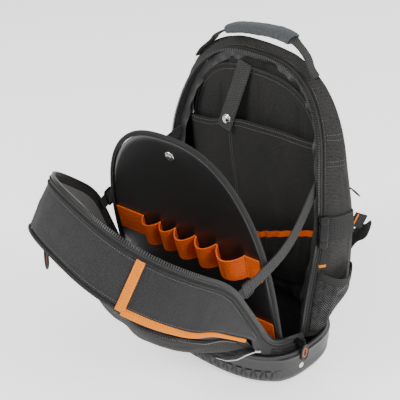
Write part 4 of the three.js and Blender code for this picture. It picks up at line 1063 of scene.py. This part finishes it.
# side band in three cuts: rim + (seam - rim) * t, swollen by sin(pi * across) ** 0.8 and ripples
def flapSideBand():
    foot = int(np.argmax(flapV > 0.165 * flapLength))
    cuts = [("flap_side_band", slice(foot, -foot), mouldedCloth, 0.5),
            ("flap_foot_right", slice(0, foot + 1), blackCloth, 1.6),
            ("flap_foot_left", slice(-foot - 1, None), blackCloth, 1.6)]
    for name, pick, look, wrinkle in cuts:
        grid = band(zipWidth + gap, -pipingRoom, 30, pick)
        out = normals(grid)
        across = np.linspace(0, 1, 30)[:, None]
        run = flapShares[None, pick] * 1100
        free = smooth((seamReach[pick] - 10) / 30)[None]
        waves = wrinkle * ripples(run, across * 60, 60 / (1 + wrinkle), 31)
        soft = np.sin(pi * across) ** 0.8 * (1.6 * free + waves)
        soft = soft * np.minimum(1, seamReach[pick] / 12)[None]
        outer = grid + out * soft[..., None]
        thick = flapCloth if wrinkle < 1 else 1
        cut(wall(name, outer, outer - out * thick, look, replaces=["flap_gusset"]), outer)
    pick = slice(foot, -foot)
    inside = band(zipWidth + gap + 0.5, -pipingRoom - 1, 20, pick)
    out = normals(inside)
    across = np.linspace(0, 1, 20)[:, None]
    free = smooth((seamReach[pick] - 10) / 30)[None]
    soft = (np.sin(pi * across) ** 0.8 * 1.6 * free)[..., None] - 0.6
    wall("flap_side_lining", inside + out * (soft - flapCloth - 0.3), inside + out * (soft - flapCloth - 1.0),
         liningCloth)
    pick = slice(foot + 4, -foot - 4)
    for place in (4, -3):
        line = band(zipWidth + gap + place if place > 0 else -pipingRoom + place, 0, 2, pick)[0]
        side = normals(band(zipWidth + gap, -pipingRoom, 3, pick))[1]
        stitch(line + side * 0.5, side)


# zip on the flap's rim: a tape, its teeth and two pipings
def flapTape():
    grid = band(0, zipWidth, 9)
    out = normals(grid)
    wall("flap_tape", grid + out * 0.7, grid - out * 3.2, cordBlack, replaces=["flap_zip"])
    away = unit(rimLine - seamLine)
    teeth("flap_teeth", rimLine - out[0] * 1.2, away)
    for name, back, look in (("flap_piping_front", 3.2, cordGrey),
                             ("flap_piping_back", zipWidth + 0.2, cordBlack)):
        line = band(back, back + 1, 2)[0] + out[0] * 1.0
        tube(name, line, zipPiping, look, sides=8)


flapSideBand()
flapTape()

panelStart = 7 / 48
hingeAngle = 46


# a place on the flap's arch moved towards the inside of the arch
def drawnIn(x, v, room):
    rise = np.clip((v - flapStraight) / (flapLength - flapStraight), 0, 1)
    side = (np.abs(x) / flapHalfWidth) ** (flapPower - 1) / flapHalfWidth
    up = rise ** (flapPower - 1) / (flapLength - flapStraight)
    size = np.hypot(side, up)
    return x - np.sign(x) * room * side / size, v - room * up / size


panelS = evenShares(241, *flapArch, low=panelStart, high=1 - panelStart)


# front of the flap by its place across and its share of the way from the hinge to the seam
def panelPoint(across, share, lift):
    s = np.interp(across, np.linspace(0, 1, 241), panelS)
    t = (s - panelStart) / (1 - 2 * panelStart)
    x, v = arch(s, *flapArch)
    hx, hy = baseOutline(-mix(hingeAngle, 180 - hingeAngle, t) * degree, baseWall + seatGap)
    hinge = stack(hx, hy, baseHeight + seamGap + flapCloth + 0 * t)
    seam = seamAt(s) + flapSeam(*drawnIn(x, v, pipingRoom - 2 * gap)) - flapSeam(x, v)
    p = hinge + (seam - hinge) * np.asarray(share)[..., None]
    p = p * stack(1 - panelDraw * 4 * share * (1 - share), 1, 1)
    out = flapAt(x, v)[1]
    middle = np.sin(pi * np.clip(t, 0, 1)) ** 1.4
    crown = np.interp(share, [0, 0.06, 0.13, 0.2, 0.32, 0.45, 0.6, 0.75, 0.88, 1],
                      [0, 0.25, 0.53, 0.75, 0.93, 1, 0.88, 0.7, 0.38, 0])
    return p + out * (crown * panelCrown * middle + lift * middle ** 0.4)[..., None]


# front of the flap: the panel's surface with low hills, and a foot that goes down into the base
def flapFront():
    across, share = shares(200, 80)
    soft = np.sin(pi * share) ** 0.7 * np.sin(pi * across) ** 0.5
    u, v = across * 420, share * 190
    wave = (ripples(u, v, 60, 41) * 1.6 + ripples(u, v, 24, 42) * 0.6) * soft
    grid = panelPoint(across, share, np.minimum(wave, 1.8))
    foot = grid[:1] * np.array([1, 1, 0]) + np.array([0, 0, footZ])
    grid = np.concatenate([foot, grid])
    s = np.interp(np.linspace(0, 1, 200), np.linspace(0, 1, 241), panelS)
    inward = -flapAt(*arch(s, *flapArch))[1][None]
    cut(wall("flap_front_cloth", grid, grid + inward * (flapCloth - 0.8), blackCloth,
             replaces=["flap_panel"]), grid)
    pick = slice(2, -1)
    wall("flap_front_lining", (grid + inward * (flapCloth - 0.5))[pick],
         (grid + inward * (flapCloth + 0.2))[pick], liningCloth)


flapFront()

frontPocket = {"bulge": 18, "cloth": 2, "from": 0.06}


# pocket on the flap's front: lifted off it by a bulge that dies out at its edges
def pocketPoint(across, share, lift):
    edge = np.sin(pi * (across - frontPocket["from"]) / (1 - 2 * frontPocket["from"])).clip(0) ** 0.6
    bulge = np.interp(share, [0.1, 0.13, 0.2, 0.33, 0.45, 0.52, 0.56], [0, 0.45, 0.85, 1, 0.75, 0.35, 0])
    creases = np.abs(ripples(across * 130, share * 190, 30, 51)) * 2.6 - 1.6
    folds = (creases + ripples(across * 400, share * 150, 34, 52) * 0.9) * edge * np.minimum(bulge, 0.8)
    return panelPoint(across, share, lift + bulge * edge * frontPocket["bulge"] + folds)


# the low pocket's cloth over the panel, with a zip across its upper edge
def frontPocketPieces():
    low = frontPocket["from"]
    across, share = np.meshgrid(np.linspace(low, 1 - low, 160), np.linspace(0.1, 0.56, 54))
    wall("front_pocket_cloth", pocketPoint(across, share, 5.2), panelPoint(across, share, 3.2),
         pocketClothLook, replaces=["front_pocket"])
    a = np.linspace(0.04, 0.96, 260)
    line = panelPoint(a, np.full_like(a, 0.6), 4)
    grid = np.stack([panelPoint(a, np.full_like(a, k), 3.4) for k in np.linspace(0.565, 0.63, 6)])
    out = flapAt(*arch(np.interp(a, np.linspace(0, 1, 241), panelS), *flapArch))[1]
    wall("pocket_tape", grid + out[None] * 1.0, grid - out[None] * 0.8, cordBlack)
    teeth("pocket_teeth", line + out * 0.8, np.gradient(grid, axis=0)[2])


frontPocketPieces()

overhang = {"angle": 42, "bulge": 9, "cloth": 1.2,
            "edge": [(0, 63), (0.05, 61), (0.11, 53), (0.18, 40), (0.25, 32), (0.35, 28.5), (0.5, 27.5)]}


# folds of the pocket's foot that hang over the base: from the pocket's lower edge down the base's face
def overhangPoint(t, u, lift=0.0):
    top = panelPoint(mix(0.02, 0.98, t), np.full_like(t, 0.12), 3.6)
    x, y = baseOutline(-mix(overhang["angle"], 180 - overhang["angle"], t) * degree, -2.4)
    half, heights = zip(*overhang["edge"])
    low = stack(x, y, np.interp(np.minimum(t, 1 - t), half, heights))
    out = unit(stack(x / baseHalfWidth**2, (y - baseCentreY) / baseHalfDepth**2, 0 * x))
    edge = np.sin(pi * t) ** 0.6
    creases = np.abs(ripples(t * 190, u * 74, 24, 71)) * 3.2 - 1.2 + ripples(t * 300, u * 40, 13, 72) * 0.5
    soft = edge * (overhang["bulge"] * np.sin(pi * u) ** 0.8 + creases * np.sin(pi * u))
    return top + (low - top) * u[..., None] + out * (soft + lift)[..., None]


t, u = shares(200, 38)
grid = overhangPoint(t, u)
cut(wall("pocket_overhang", overhangPoint(t, u, overhang["cloth"]), grid, pocketClothLook), grid)
t = np.linspace(0.003, 0.997, 300)
tube("pocket_piping", overhangPoint(t, np.ones_like(t), 1.0), 1.6, silverPiping, sides=8)

bandIndex = int(np.argmax([(v > flapStraight) and (x < 0.7 * flapHalfWidth)
                           for x, v in zip(*arch(np.arange(49) / 48, *flapArch))]))


bandWidth = 12


# orange webbing across the side band, piping along the seam in two colours
def flapTrim():
    xs, vs = arch(np.array([bandIndex - 1, bandIndex]) / 48, *flapArch)
    half = bandWidth / 2 / math.hypot(xs[1] - xs[0], vs[1] - vs[0])
    t = np.linspace(0.5 - half, 0.5 + half, 9)
    x, v = mix(xs[0], xs[1], t), mix(vs[0], vs[1], t)
    rim, seam = flapAt(x, v)[0], seamAt((bandIndex - 1 + t) / 48)
    reach = np.linalg.norm(seam - rim, axis=1)[:, None]
    along = mix((zipWidth + gap) / reach[:, 0], 1 + 1.5 / reach[:, 0], np.linspace(0, 1, 40)[:, None])
    grid = rim + (seam - rim) * along[..., None]
    out = normals(grid)
    lift = 1.6 * np.sin(pi * np.linspace(0, 1, 40))[:, None, None] ** 0.8 + 0.5
    wall("flap_webbing", grid + out * (lift + 2), grid + out * lift, orangeWebbing, replaces=["flap_band"])
    for k in (1, 7):
        stitch(grid[:, k] + out[:, k] * (lift[:, 0] + 2.1), out[:, k], colour="orange")
    low, turn = panelStart, (bandIndex - 1) / 48
    s = evenShares(200, *flapArch, low=low, high=turn + 0.25 / 48)
    line = even(seamAt(s), 260)
    down = seamAt(s) - flapAt(*arch(s, *flapArch))[0]
    wide = np.ones((260, 2))
    wide[:, 0] = mix(1, 2.1, smooth(np.linspace(-0.1, 1.1, 260)))
    side = unit(down[np.linspace(0, 199, 260).astype(int)])
    sweep("seam_piping_orange", line, side, section(2.5, 1.7, 2.4, 14), orangeWebbing, taper=wide,
          replaces=["flap_piping"])
    s = evenShares(200, *flapArch, low=bandIndex / 48, high=1 - low)
    tube("seam_piping_dark", even(seamAt(s), 240), pipingRadius, cordBlack, sides=12,
         replaces=["flap_seam"])


flapTrim()
print("flap made")


# board coordinates (across, up, off its back face) to the bag's
def onBoard(x, h, off):
    tilt, yaw = boardTilt * degree, -boardYaw * degree
    x, h, off = np.broadcast_arrays(x, h, off)
    y = -off * math.cos(tilt) - h * math.sin(tilt)
    z = -off * math.sin(tilt) + h * math.cos(tilt)
    return stack(x * math.cos(yaw) - y * math.sin(yaw), x * math.sin(yaw) + y * math.cos(yaw) + boardFootY,
                 z + baseFloor + boardFootLift)


boardOut = onBoard(0, 0, 1) - onBoard(0, 0, 0)


# outline of the board, drawn in by an inset
def boardOutline(inset, count=300):
    shape = (boardHalfWidth - inset, boardHeight - inset, boardStraight, boardPower)
    return arch(evenShares(count, *shape), *shape)


# stiff board: its outline scaled about a centre, ring by ring, with a tape round its edge
def boardPieces():
    x, h = boardOutline(bindingWidth + gap)
    centre = 130
    low = (bindingThick - boardThick) / 2
    rows = [(0.01, 0), (0.5, 0), (0.96, 0), (0.995, 0.3), (1, 1)]
    rows += [(k, boardThick - off) for k, off in rows[::-1]]
    rings = np.array([onBoard(x * k, centre + (h - centre) * k, low + off) for k, off in rows])
    loft("board_sheet", rings, glossBoard, replaces=["divider_board"])
    x, h = boardOutline(bindingWidth / 2)
    line = onBoard(x, h, bindingThick / 2)
    sweep("board_binding_tape", line, boardOut, section(bindingThick / 2, bindingWidth / 2, 3, 16),
          cordBlack, replaces=["board_binding"])
    x, h = boardOutline(bindingWidth - 1.2)
    stitch(onBoard(x, h, bindingThick + 0.1)[4:-4], boardOut)
    turned("board_stud_cap", snapProfile, boxCentre("board_stud") - boardOut * 2, boardOut, snapMetal,
           replaces=["board_stud"])


boardPieces()

boardFace = boardThick + (bindingThick - boardThick) / 2 + gap
loopHeight, lowBandHeight = 208, 85
loopTable = [(-0.59, -0.36, 0.34), (-0.34, -0.14, 0.32), (-0.12, 0.13, 0.4), (0.17, 0.42, 0.4),
             (0.46, 0.8, 0.5)]
elasticWidth = 40


# half width of the board inside its binding at a height: w * (1 - rise ** power) ** (1 / power)
def boardReach(height):
    rise = max(0, (height - boardStraight) / (boardHeight - boardStraight))
    return boardHalfWidth * (1 - rise**boardPower) ** (1 / boardPower) - bindingWidth - 3


# elastic across the board: off = height of the loop * sin(share) ** 0.7, narrower where it stands off
def elastic(name, height, table, node):
    reach = boardReach(height)
    x = np.linspace(-reach, reach, 420)
    off = np.zeros_like(x)
    for left, right, tall in table:
        share = np.clip((x / reach - left) / (right - left), 0, 1)
        off = off + tall * elasticWidth * np.sin(pi * share) ** 0.7
    line = even(stack(x, 0 * x, off), 420)
    x, off = line[:, 0], line[:, 2]
    draw = 1 - 0.05 * off / (0.4 * elasticWidth)
    up = np.linspace(-1, 1, 12)[:, None]
    lean = off * 0.06 * up
    grid = onBoard(x, height - elasticWidth / 2 + up * elasticWidth / 2 * draw, boardFace + off + lean)
    out = normals(grid)
    out = out * np.sign(np.sum(out * boardOut, axis=-1, keepdims=True).mean())
    wall(name, grid + out * 2, grid, orangeElastic, replaces=[node])


elastic("tool_loop_elastic", loopHeight, loopTable, "tool_loops")
elastic("board_low_band", lowBandHeight, [], "board_band")
for place in (-0.6, -0.35, -0.13, 0.15, 0.44, 0.82):
    for step in (-1.5, 1.5):
        h = np.linspace(loopHeight - elasticWidth + 2, loopHeight - 2, 20)
        across = np.full_like(h, place * boardReach(loopHeight) + step)
        stitch(onBoard(across, h, boardFace + 2.4), boardOut, 3, "orange")
print("board made")

stay = {"top": 270, "right": 0.48, "left": 0.53, "drop": 7, "bow": 14, "width": 20}


# a flat frame round a strap: a rounded bar bent into a rectangle, with a second bar across it
def buckle(name, point, along, side, halfWidth, halfLength, bar, node):
    along, side = unit(np.asarray(along)), unit(np.asarray(side))
    side = unit(side - along * np.dot(side, along))
    ring = section(halfWidth, halfLength, 7, 72)
    rise = np.cross(along, side)
    line = point + side * ring[:, :1] + along * ring[:, 1:]
    tangent = unit(np.roll(line, -1, axis=0) - np.roll(line, 1, axis=0))
    shape = section(bar, bar * 0.75, 3, 10)
    ringBar(name, line, np.cross(tangent, rise), rise, shape, blackPlastic, replaces=[node])
    cross = np.stack([point - side * halfWidth, point + side * halfWidth])
    tube(name + "_bar", even(cross, 12) + rise * 0.9, bar * 0.7, blackPlastic, sides=8)


# strap that holds the flap: a curve from the body's rim by a sagging middle to the flap's rim
def stayPieces(side, name):
    inside = zipThick + 3 * seamGap + gap + 1
    s = np.linspace(0, 0.5, 2001)
    rim = bodyPoint(s, np.zeros_like(s))
    top = follow(stay["top"], rim[:, 2], rim)
    place = flapAt(np.array(side * flapHalfWidth), np.array(flapLength * stay[name]))
    slouch = bodySlouch * float(smooth((top[2] - slouchFoot) / slouchRise))
    start = np.array([side * (top[0] - inside) - slouch, top[1] + zipWidth, top[2]])
    end = np.array([place[0][0] - side * inside, place[0][1], place[0][2]]) + place[1] * zipWidth / 2
    middle = (start + end) / 2 + np.array([side * stay["bow"], 0, -stay["drop"]])
    line = spline([start, middle, end], 90)
    twist = np.array([0, -0.46, 0.89])
    sweep(f"stay_webbing_{name}", line, twist, section(stay["width"] / 2, 1.0, 7, 24), greyWebbing,
          replaces=[f"stay_strap_{name}"])
    at = int(0.885 * len(line))
    buckle(f"stay_buckle_{name}", line[at], line[at + 1] - line[at], twist, stay["width"] / 2 + 2.2, 7, 1.9,
           f"stay_slider_{name}")


for side, name in ((1, "right"), (-1, "left")):
    stayPieces(side, name)

handle = {"halfSpan": 92, "top": 466, "tilt": 6, "grip": 118, "radius": 9, "webbing": 24}


# height of the body's top under the handle at a place across
def topLine(x):
    s = np.linspace(0, 0.5, 2001)
    p = bodyPoint(s, np.full_like(s, 0.85), 0, setBack)
    return np.interp(x, p[::-1, 0], p[::-1, 2])


# handle: a curve up from the body's top and over, with a thicker wrinkled grip round its middle
def handlePieces():
    lift = 2 + seamGap
    y = bodyBackY - handle["webbing"] / 2 + 4
    foot = float(topLine(handle["halfSpan"])) + lift
    top = handle["top"] - handle["radius"]
    rise = [(0.93, 0.3), (0.76, 0.64), (0.6, 0.84), (0.4, 0.95), (0.2, 0.99), (0, 1)]
    tails = [handle["halfSpan"] * k for k in (1.34, 1.26, 1.18, 1.1)]  # the left end runs on along the body
    half = [(x, float(topLine(x)) + 1.4) for x in tails] + [(handle["halfSpan"], foot)]
    half += [(handle["halfSpan"] * k, mix(foot, top, h)) for k, h in rise]
    line = np.array([(x, y, z) for x, z in half[3:]] + [(-x, y, z) for x, z in half[-2::-1]])
    free = np.clip((line[:, 2] - foot) / (top - foot), 0, 1)
    line[:, 2] += line[:, 0] * math.tan(handle["tilt"] * degree) * free
    line[[0, -1], 2] -= 1.4
    path = spline(slouched(line), 300)
    away = np.abs(path[:, 0] + bodySlouch)
    past = smooth((away - handle["grip"] / 2 + 6) / 18)
    narrow = np.stack([mix(1, 0.6, past), mix(1, 1.5, past)], axis=1)
    sweep("handle_strap", path, [0, 1, 0], section(handle["webbing"] / 2, 1.1, 6, 24), greyWebbing,
          taper=narrow, replaces=["handle_webbing"])
    inner = even(path[away < handle["grip"] / 2], 160)
    t = np.linspace(0, 1, 160)
    taper = 1 - 0.1 * np.abs(2 * t - 1) ** 8
    ribs = 1 + 0.02 * ripples(t * 118, 0, 17, 61)
    turn = np.arange(40)
    shape = section(handle["webbing"] / 2 + 2.6, handle["radius"] - 1.4, 2.5, 40)
    rings = sweepRings(inner, [0, 1, 0], shape, taper * ribs)
    centre = inner[:, None]
    crease = ripples(t[:, None] * 118, turn[None] * 1.9, 15, 62) * 0.35
    rings = centre + (rings - centre) * (1 + crease * 0.05)[..., None]
    shut = centre[[0, -1]] + (rings[[0, -1]] - centre[[0, -1]]) * 0.72
    inset = unit(inner[[1, -2]] - inner[[0, -1]])[:, None] * 5
    rings = np.concatenate([shut[:1] + inset[:1], shut[:1], rings, shut[1:], shut[1:] + inset[1:]])
    loft("handle_padding", rings, gripCloth, replaces=["handle_grip"])
    stitch(inner[8:-8] + np.array([0, -12, 2.5]), [0, -1, 0.4])


handlePieces()


# a point on the right side of the body by depth and height, lifted off it
def sidePoint(depth, z, lift):
    s = np.linspace(0, 0.5, 801)
    depth, z, lift = np.broadcast_arrays(np.asarray(depth, float), z, lift)
    flat = []
    for d in np.unique(depth):
        p = bodyPoint(s, np.full_like(s, d), 0, setBack)
        here = depth == d
        flat.append((here, np.interp(z[here], p[:, 2], p[:, 0]), np.interp(z[here], p[:, 2], p[:, 1])))
    x, y = np.zeros(depth.shape), np.zeros(depth.shape)
    for here, px, py in flat:
        x[here], y[here] = px, py
    return stack(x + lift, y, z)


# a patch on the right side: rows between a low and a high line, off the body by a lift
def sidePatch(name, depths, low, high, lift, thick, rows, material, slouch=True, **rest):
    t = np.linspace(0, 1, len(depths))[None]
    up = np.linspace(0, 1, rows)[:, None]
    z = mix(low(t), high(t), up)
    inner = sidePoint(np.broadcast_to(depths[None], z.shape), z, lift(t, z))
    outer = inner + np.array([1, 0, 0.0]) * thick
    if slouch:
        inner, outer = slouched(inner), slouched(outer)
    return wall(name, outer, inner, material, **rest)


flat = lambda value: (lambda t, *rest: value + 0 * t)
sidePatch("side_band", np.linspace(0, 1, 40), flat(193.5), flat(226.5), flat(2.1), 2, 10,
          blackWebbing, replaces=["side_strap"])
sidePatch("side_drop", np.linspace(0.02, 0.14, 8), flat(156.2), flat(186.6), flat(1.4), 2, 20,
          blackWebbing, replaces=["side_webbing"])
sidePatch("side_drop_end", np.linspace(0.015, 0.145, 8), flat(152), flat(156), flat(1.2), 2.6, 6, orangeWebbing)


# the folded clasp: a rounded block with two grooves across it
def claspPiece():
    low, high = (v[2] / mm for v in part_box("side_clasp"))
    z = np.linspace(low, high, 60)
    share = (z - low) / (high - low)
    s, line = np.linspace(0, 0.5, 801), []
    for depth in (0.02, 0.26):
        p = bodyPoint(s, np.full_like(s, depth), 0, setBack)
        line.append(stack(np.interp(z, p[:, 2], p[:, 0]), np.interp(z, p[:, 2], p[:, 1]), z))
    middle = slouched((line[0] + line[1]) / 2 + np.array([2.4, -14, 0]))
    side = unit(line[1] - line[0])
    grooves = 1 - 0.14 * (np.exp(-(((share - 0.25) / 0.03) ** 2)) + np.exp(-(((share - 0.75) / 0.03) ** 2)))
    ends = np.clip(np.minimum(share, 1 - share) * 14 + 0.55, 0, 1) ** 0.5
    sweep("side_clasp_body", middle, side, section(6.8, 4.5, 3.4, 28), blackPlastic,
          taper=grooves * ends, replaces=["side_clasp"])


claspPiece()

tabRoot = sidePoint(np.array([1.0]), np.array([210.0]), 2.2)[0] + np.array([0, seamGap, 0])
tabLine = spline([tabRoot, tabRoot + np.array([5.6, 6.3, -3.4]), tabRoot + np.array([9.8, 12.6, -6.8])], 20)
sweep("side_tab_webbing", slouched(tabLine), [0, 0, 1], section(11.5, 1.7, 4, 24), blackWebbing,
      replaces=["side_tab"])
stripe = slouched(tabLine[3:6]) + np.array([0.5, -0.5, 0])
sweep("side_tab_stripe", stripe, [0, 0, 1], section(10.5, 1.5, 5, 24), orangeWebbing)

net = {"foot": baseHeight + 2 * seamGap, "top": 146, "bulge": 15, "hem": 12}
netTop = lambda t: mix(net["foot"], net["top"], 1 - 0.12 * np.sin(pi * t))


# the net stands off the wall: lift = 3 + bulge * sin(across) ** 0.7 * sin(up) ** 0.8
def netLift(t, z):
    up = np.clip((z - net["foot"]) / (netTop(t) - net["foot"]), 0, 1)
    return 3 + net["bulge"] * np.sin(pi * t) ** 0.7 * np.sin(pi / 2 * up) ** 0.8


netDepths = np.linspace(0.02, 0.86, 70)
sidePatch("side_net", netDepths, flat(net["foot"]), lambda t: netTop(t) - net["hem"] - gap, netLift, 1.2, 60,
          netCloth, slouch=False, replaces=["mesh_pocket"])
sidePatch("side_net_hem", netDepths, lambda t: netTop(t) - net["hem"], netTop, netLift, 2.4, 10,
          blackWebbing, slouch=False, slot="net_black", replaces=["mesh_hem"])
print("right side made")

padRows = [(0, 0.28, 0), (0.12, 0.3, 0.45), (0.35, 0.36, 0.95), (0.6, 0.44, 1), (0.85, 0.54, 0.7),
           (1, 0.6, 0.35)]
carry = {"top": 385, "length": 275, "thick": 11, "standOff": 26, "padWidth": 60, "tail": 24,
         "anchor": baseHeight + 18}


# middle line of a carrying pad, from rows of (down, across, stand-off)
def padPath(side):
    room = gap + carry["thick"] / 2
    down, x, off = np.array(padRows).T
    return stack(side * x * bodyHalfWidth, bodyBackY + room + off * carry["standOff"],
                 carry["top"] - down * carry["length"])


# webbing from the pad's end to its anchor at the foot, through a slider
def carryPieces(side, name):
    path = padPath(side)
    pathWay = unit(path[-1] - path[-2])
    start = path[-1] + pathWay * (seamGap + gap)
    foot = seatOnBase(np.array([0.72 * bodyHalfWidth, bodyBackY, carry["anchor"]]), baseWall + seatGap, 1)
    waist = bodyBackY - baseCentreY - baseHalfDepth + baseWall + seatGap
    out = float(smooth((carry["anchor"] - baseHeight) / waistRise)) * waist
    end = np.array([side * foot[0], foot[1] + 1 + 4 * gap + out, carry["anchor"]])
    middle = (start + end) / 2 + np.array([0, 5, -3])
    line = spline([start, middle, end], 60)
    sweep(f"carry_webbing_{name}", line, [1, 0, 0.35 * side], section(carry["tail"] / 2, 1.0, 7, 24),
          greyWebbing, replaces=[f"shoulder_webbing_{name}"])
    at = int(0.19 * len(line))
    buckle(f"carry_buckle_{name}", line[at], line[at + 1] - line[at], [1, 0, 0.35 * side],
           carry["tail"] / 2 + 2.2, 5.5, 1.9, f"shoulder_slider_{name}")


for side, name in ((1, "right"), (-1, "left")):
    carryPieces(side, name)

# rows of (across past the pad's edge, behind the back, up), each in strap widths
highTail = [(-0.3, 1.35, 9.87), (0.9, 1, 10.12), (1.7, 0.8, 10.22), (2.35, 0.82, 9.92)]
lowTail = [(0.585, 0.6, 3.8), (1.3, 0.95, 5.05), (1.78, 0.85, 6.25), (2.4, 0.75, 7.3), (3.03, 0.7, 7.87),
           (3.36, 0.7, 8.57)]


# loose strap end: its width turns from one direction to another along it
def looseEnd(name, rows, first, last, node):
    edge = 0.44 * bodyHalfWidth + carry["padWidth"] / 2
    width = carry["tail"]
    points = [[edge + x * width, bodyBackY + y * width, z * width] for x, y, z in rows]
    line = spline(points, 90)
    t = np.linspace(0, 1, 90)[:, None]
    side = mix(np.array(first, float), np.array(last, float), smooth(t * 1.6))
    wide = np.ones((90, 2))
    wide[:, 0] = np.clip((1 - t[:, 0]) * 5 + 0.12, 0, 1) ** 0.6
    sweep(name, line, side, section(carry["tail"] / 2, 1.0, 6, 24), blackWebbing, taper=wide,
          replaces=[node])


looseEnd("loose_end_high", highTail, [0.1, 1, 0.2], [0.1, 0.75, -0.66], "strap_tail_high")
looseEnd("loose_end_low", lowTail, [-0.3, 0, 1], [-0.5, 0.62, 0.6], "strap_tail_low")
print("straps made")


# pull of a zip: an oval plate with a raised edge, and a ring of another colour through its middle
def pullPiece(name, node, face):
    low, high = (np.array(v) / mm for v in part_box(node))
    centre = (low + high) / 2
    span = high - low
    face = unit(np.array(face, float))
    up = np.array([0, 0, 1.0])
    side = np.cross(up, face)
    a, b = max(abs(np.dot(span, side)), 15) / 2, span[2] / 2
    turn = 2 * pi * np.arange(64) / 64
    ring = side * (np.cos(turn) * a)[:, None] + up * (np.sin(turn) * b)[:, None]
    half = [(0.01, -0.9), (0.72, -0.9), (0.8, -1.5), (0.95, -1.4), (1, -0.6)]
    rows = half + [(k, -h) for k, h in half[::-1]]
    rings = np.array([centre + ring * k + face * h for k, h in rows])
    loft(name, rings, blackPlastic, replaces=[node])
    ringBar(name + "_ring", centre + ring * 0.5, unit(ring), face, section(1.1, 1.1, 2, 8), orangeRubber)


pullPiece("pull_right", "zip_pull_right", [1, 0, 0])
pullPiece("pull_left", "zip_pull_left", [-1, 0, 0])
pullPiece("pull_pocket", "pocket_pull", [-0.8, -0.6, 0])

rivetProfile = [(0, 0), (4.5, 0), (4.6, 0.5), (4.3, 1.2), (3.2, 2), (1.6, 2.4), (0, 2.5)]
for side, name in ((1, "right"), (-1, "left")):
    at = boxCentre(f"base_rivet_{name}") - np.array([side * 1.25, 0, 0])
    turned(f"rivet_{name}", rivetProfile, at, [side, 0, 0], rivetPlastic, replaces=[f"base_rivet_{name}"])
    slider = frame["nodes"][f"zip_slider_{name}"].data
    slider.materials.clear()
    slider.materials.append(blackPlastic)

stitchShape = [[-1.5, 0, 0], [1.5, 0, 0], [0, -0.55, 0], [0, 0.55, 0], [0, 0, 0.5], [0, 0, -0.5]]
for colour, look in (("dark", threadDark), ("orange", threadOrange)):
    centres, along, up = (np.concatenate([run[k] for run in stitchRuns[colour]]) for k in range(3))
    scatter(f"stitches_{colour}", stitchShape, diamondFaces, centres + up * 0.15, along, np.cross(up, along),
            look, sharp=80)
print("trim made")

floorMesh = bpy.data.meshes.new("floor")
floorMesh.from_pydata([(-9, -9, 0), (9, -9, 0), (9, 9, 0), (-9, 9, 0)], [], [(0, 1, 2, 3)])
floor = bpy.data.objects.new("floor", floorMesh)
scene.collection.objects.link(floor)
floorLook = Look("floorLook", 0.9, specular=0.1)
floorLook.shader.inputs["Base Color"].default_value = (0.95, 0.95, 0.95, 1)
floorLook.shader.inputs["Emission Color"].default_value = (1, 1, 1, 1)
floorLook.shader.inputs["Emission Strength"].default_value = 1.05
floorMesh.materials.append(floorLook.material)

world = bpy.data.worlds.new("studio")
scene.world = world
world.use_nodes = True
world.node_tree.nodes["Background"].inputs[0].default_value = (1, 1, 1, 1)
world.node_tree.nodes["Background"].inputs[1].default_value = 0.55


# a square soft light at a place, turned to its aim
def softLight(name, place, aim, size, watts):
    data = bpy.data.lights.new(name, "AREA")
    data.size = size
    data.energy = watts
    lamp = bpy.data.objects.new(name, data)
    scene.collection.objects.link(lamp)
    lamp.location = place
    lamp.rotation_euler = (Vector(aim) - Vector(place)).to_track_quat("-Z", "Y").to_euler()


lights = {
    "keyLight": {"place": (-0.9, -1.6, 1.9), "aim": (0, 0, 0.2), "size": 1.1, "watts": 52},
    "sideLight": {"place": (1.9, -0.2, 1.5), "aim": (0, 0, 0.2), "size": 0.9, "watts": 36},
    "backLight": {"place": (0.3, 1.9, 1.8), "aim": (0, 0, 0.25), "size": 1.3, "watts": 20},
    "fillLight": {"place": (1.2, -1.9, 0.9), "aim": (0, 0, 0.2), "size": 1.0, "watts": 6},
}
for name, light in lights.items():
    softLight(name, **light)

view = {"azimuth": 44.17, "elevation": 29.01, "roll": 0.8, "distance": 1399.27, "lens": 87.25,
        "aim": (-10.56, -52.32, 233.72)}
camera = bpy.data.cameras.new("camera")
camera.lens = view["lens"]
camera.sensor_width = 36
camera.clip_start = 0.05
eye = bpy.data.objects.new("camera", camera)
scene.collection.objects.link(eye)
a, e, r = (view[k] * degree for k in ("azimuth", "elevation", "roll"))
right = np.array([math.cos(a), math.sin(a), 0])
upward = np.array([-math.sin(a) * math.sin(e), math.cos(a) * math.sin(e), math.cos(e)])
backward = np.array([math.sin(a) * math.cos(e), -math.cos(a) * math.cos(e), math.sin(e)])
turnedRight = right * math.cos(r) - upward * math.sin(r)
turnedUp = right * math.sin(r) + upward * math.cos(r)
spot = (np.array(view["aim"]) + backward * view["distance"]) * mm
matrix = np.eye(4)
matrix[:3] = np.stack([turnedRight, turnedUp, backward, spot], axis=1)
eye.matrix_world = Matrix(matrix.tolist())
scene.camera = eye

print("studio made")
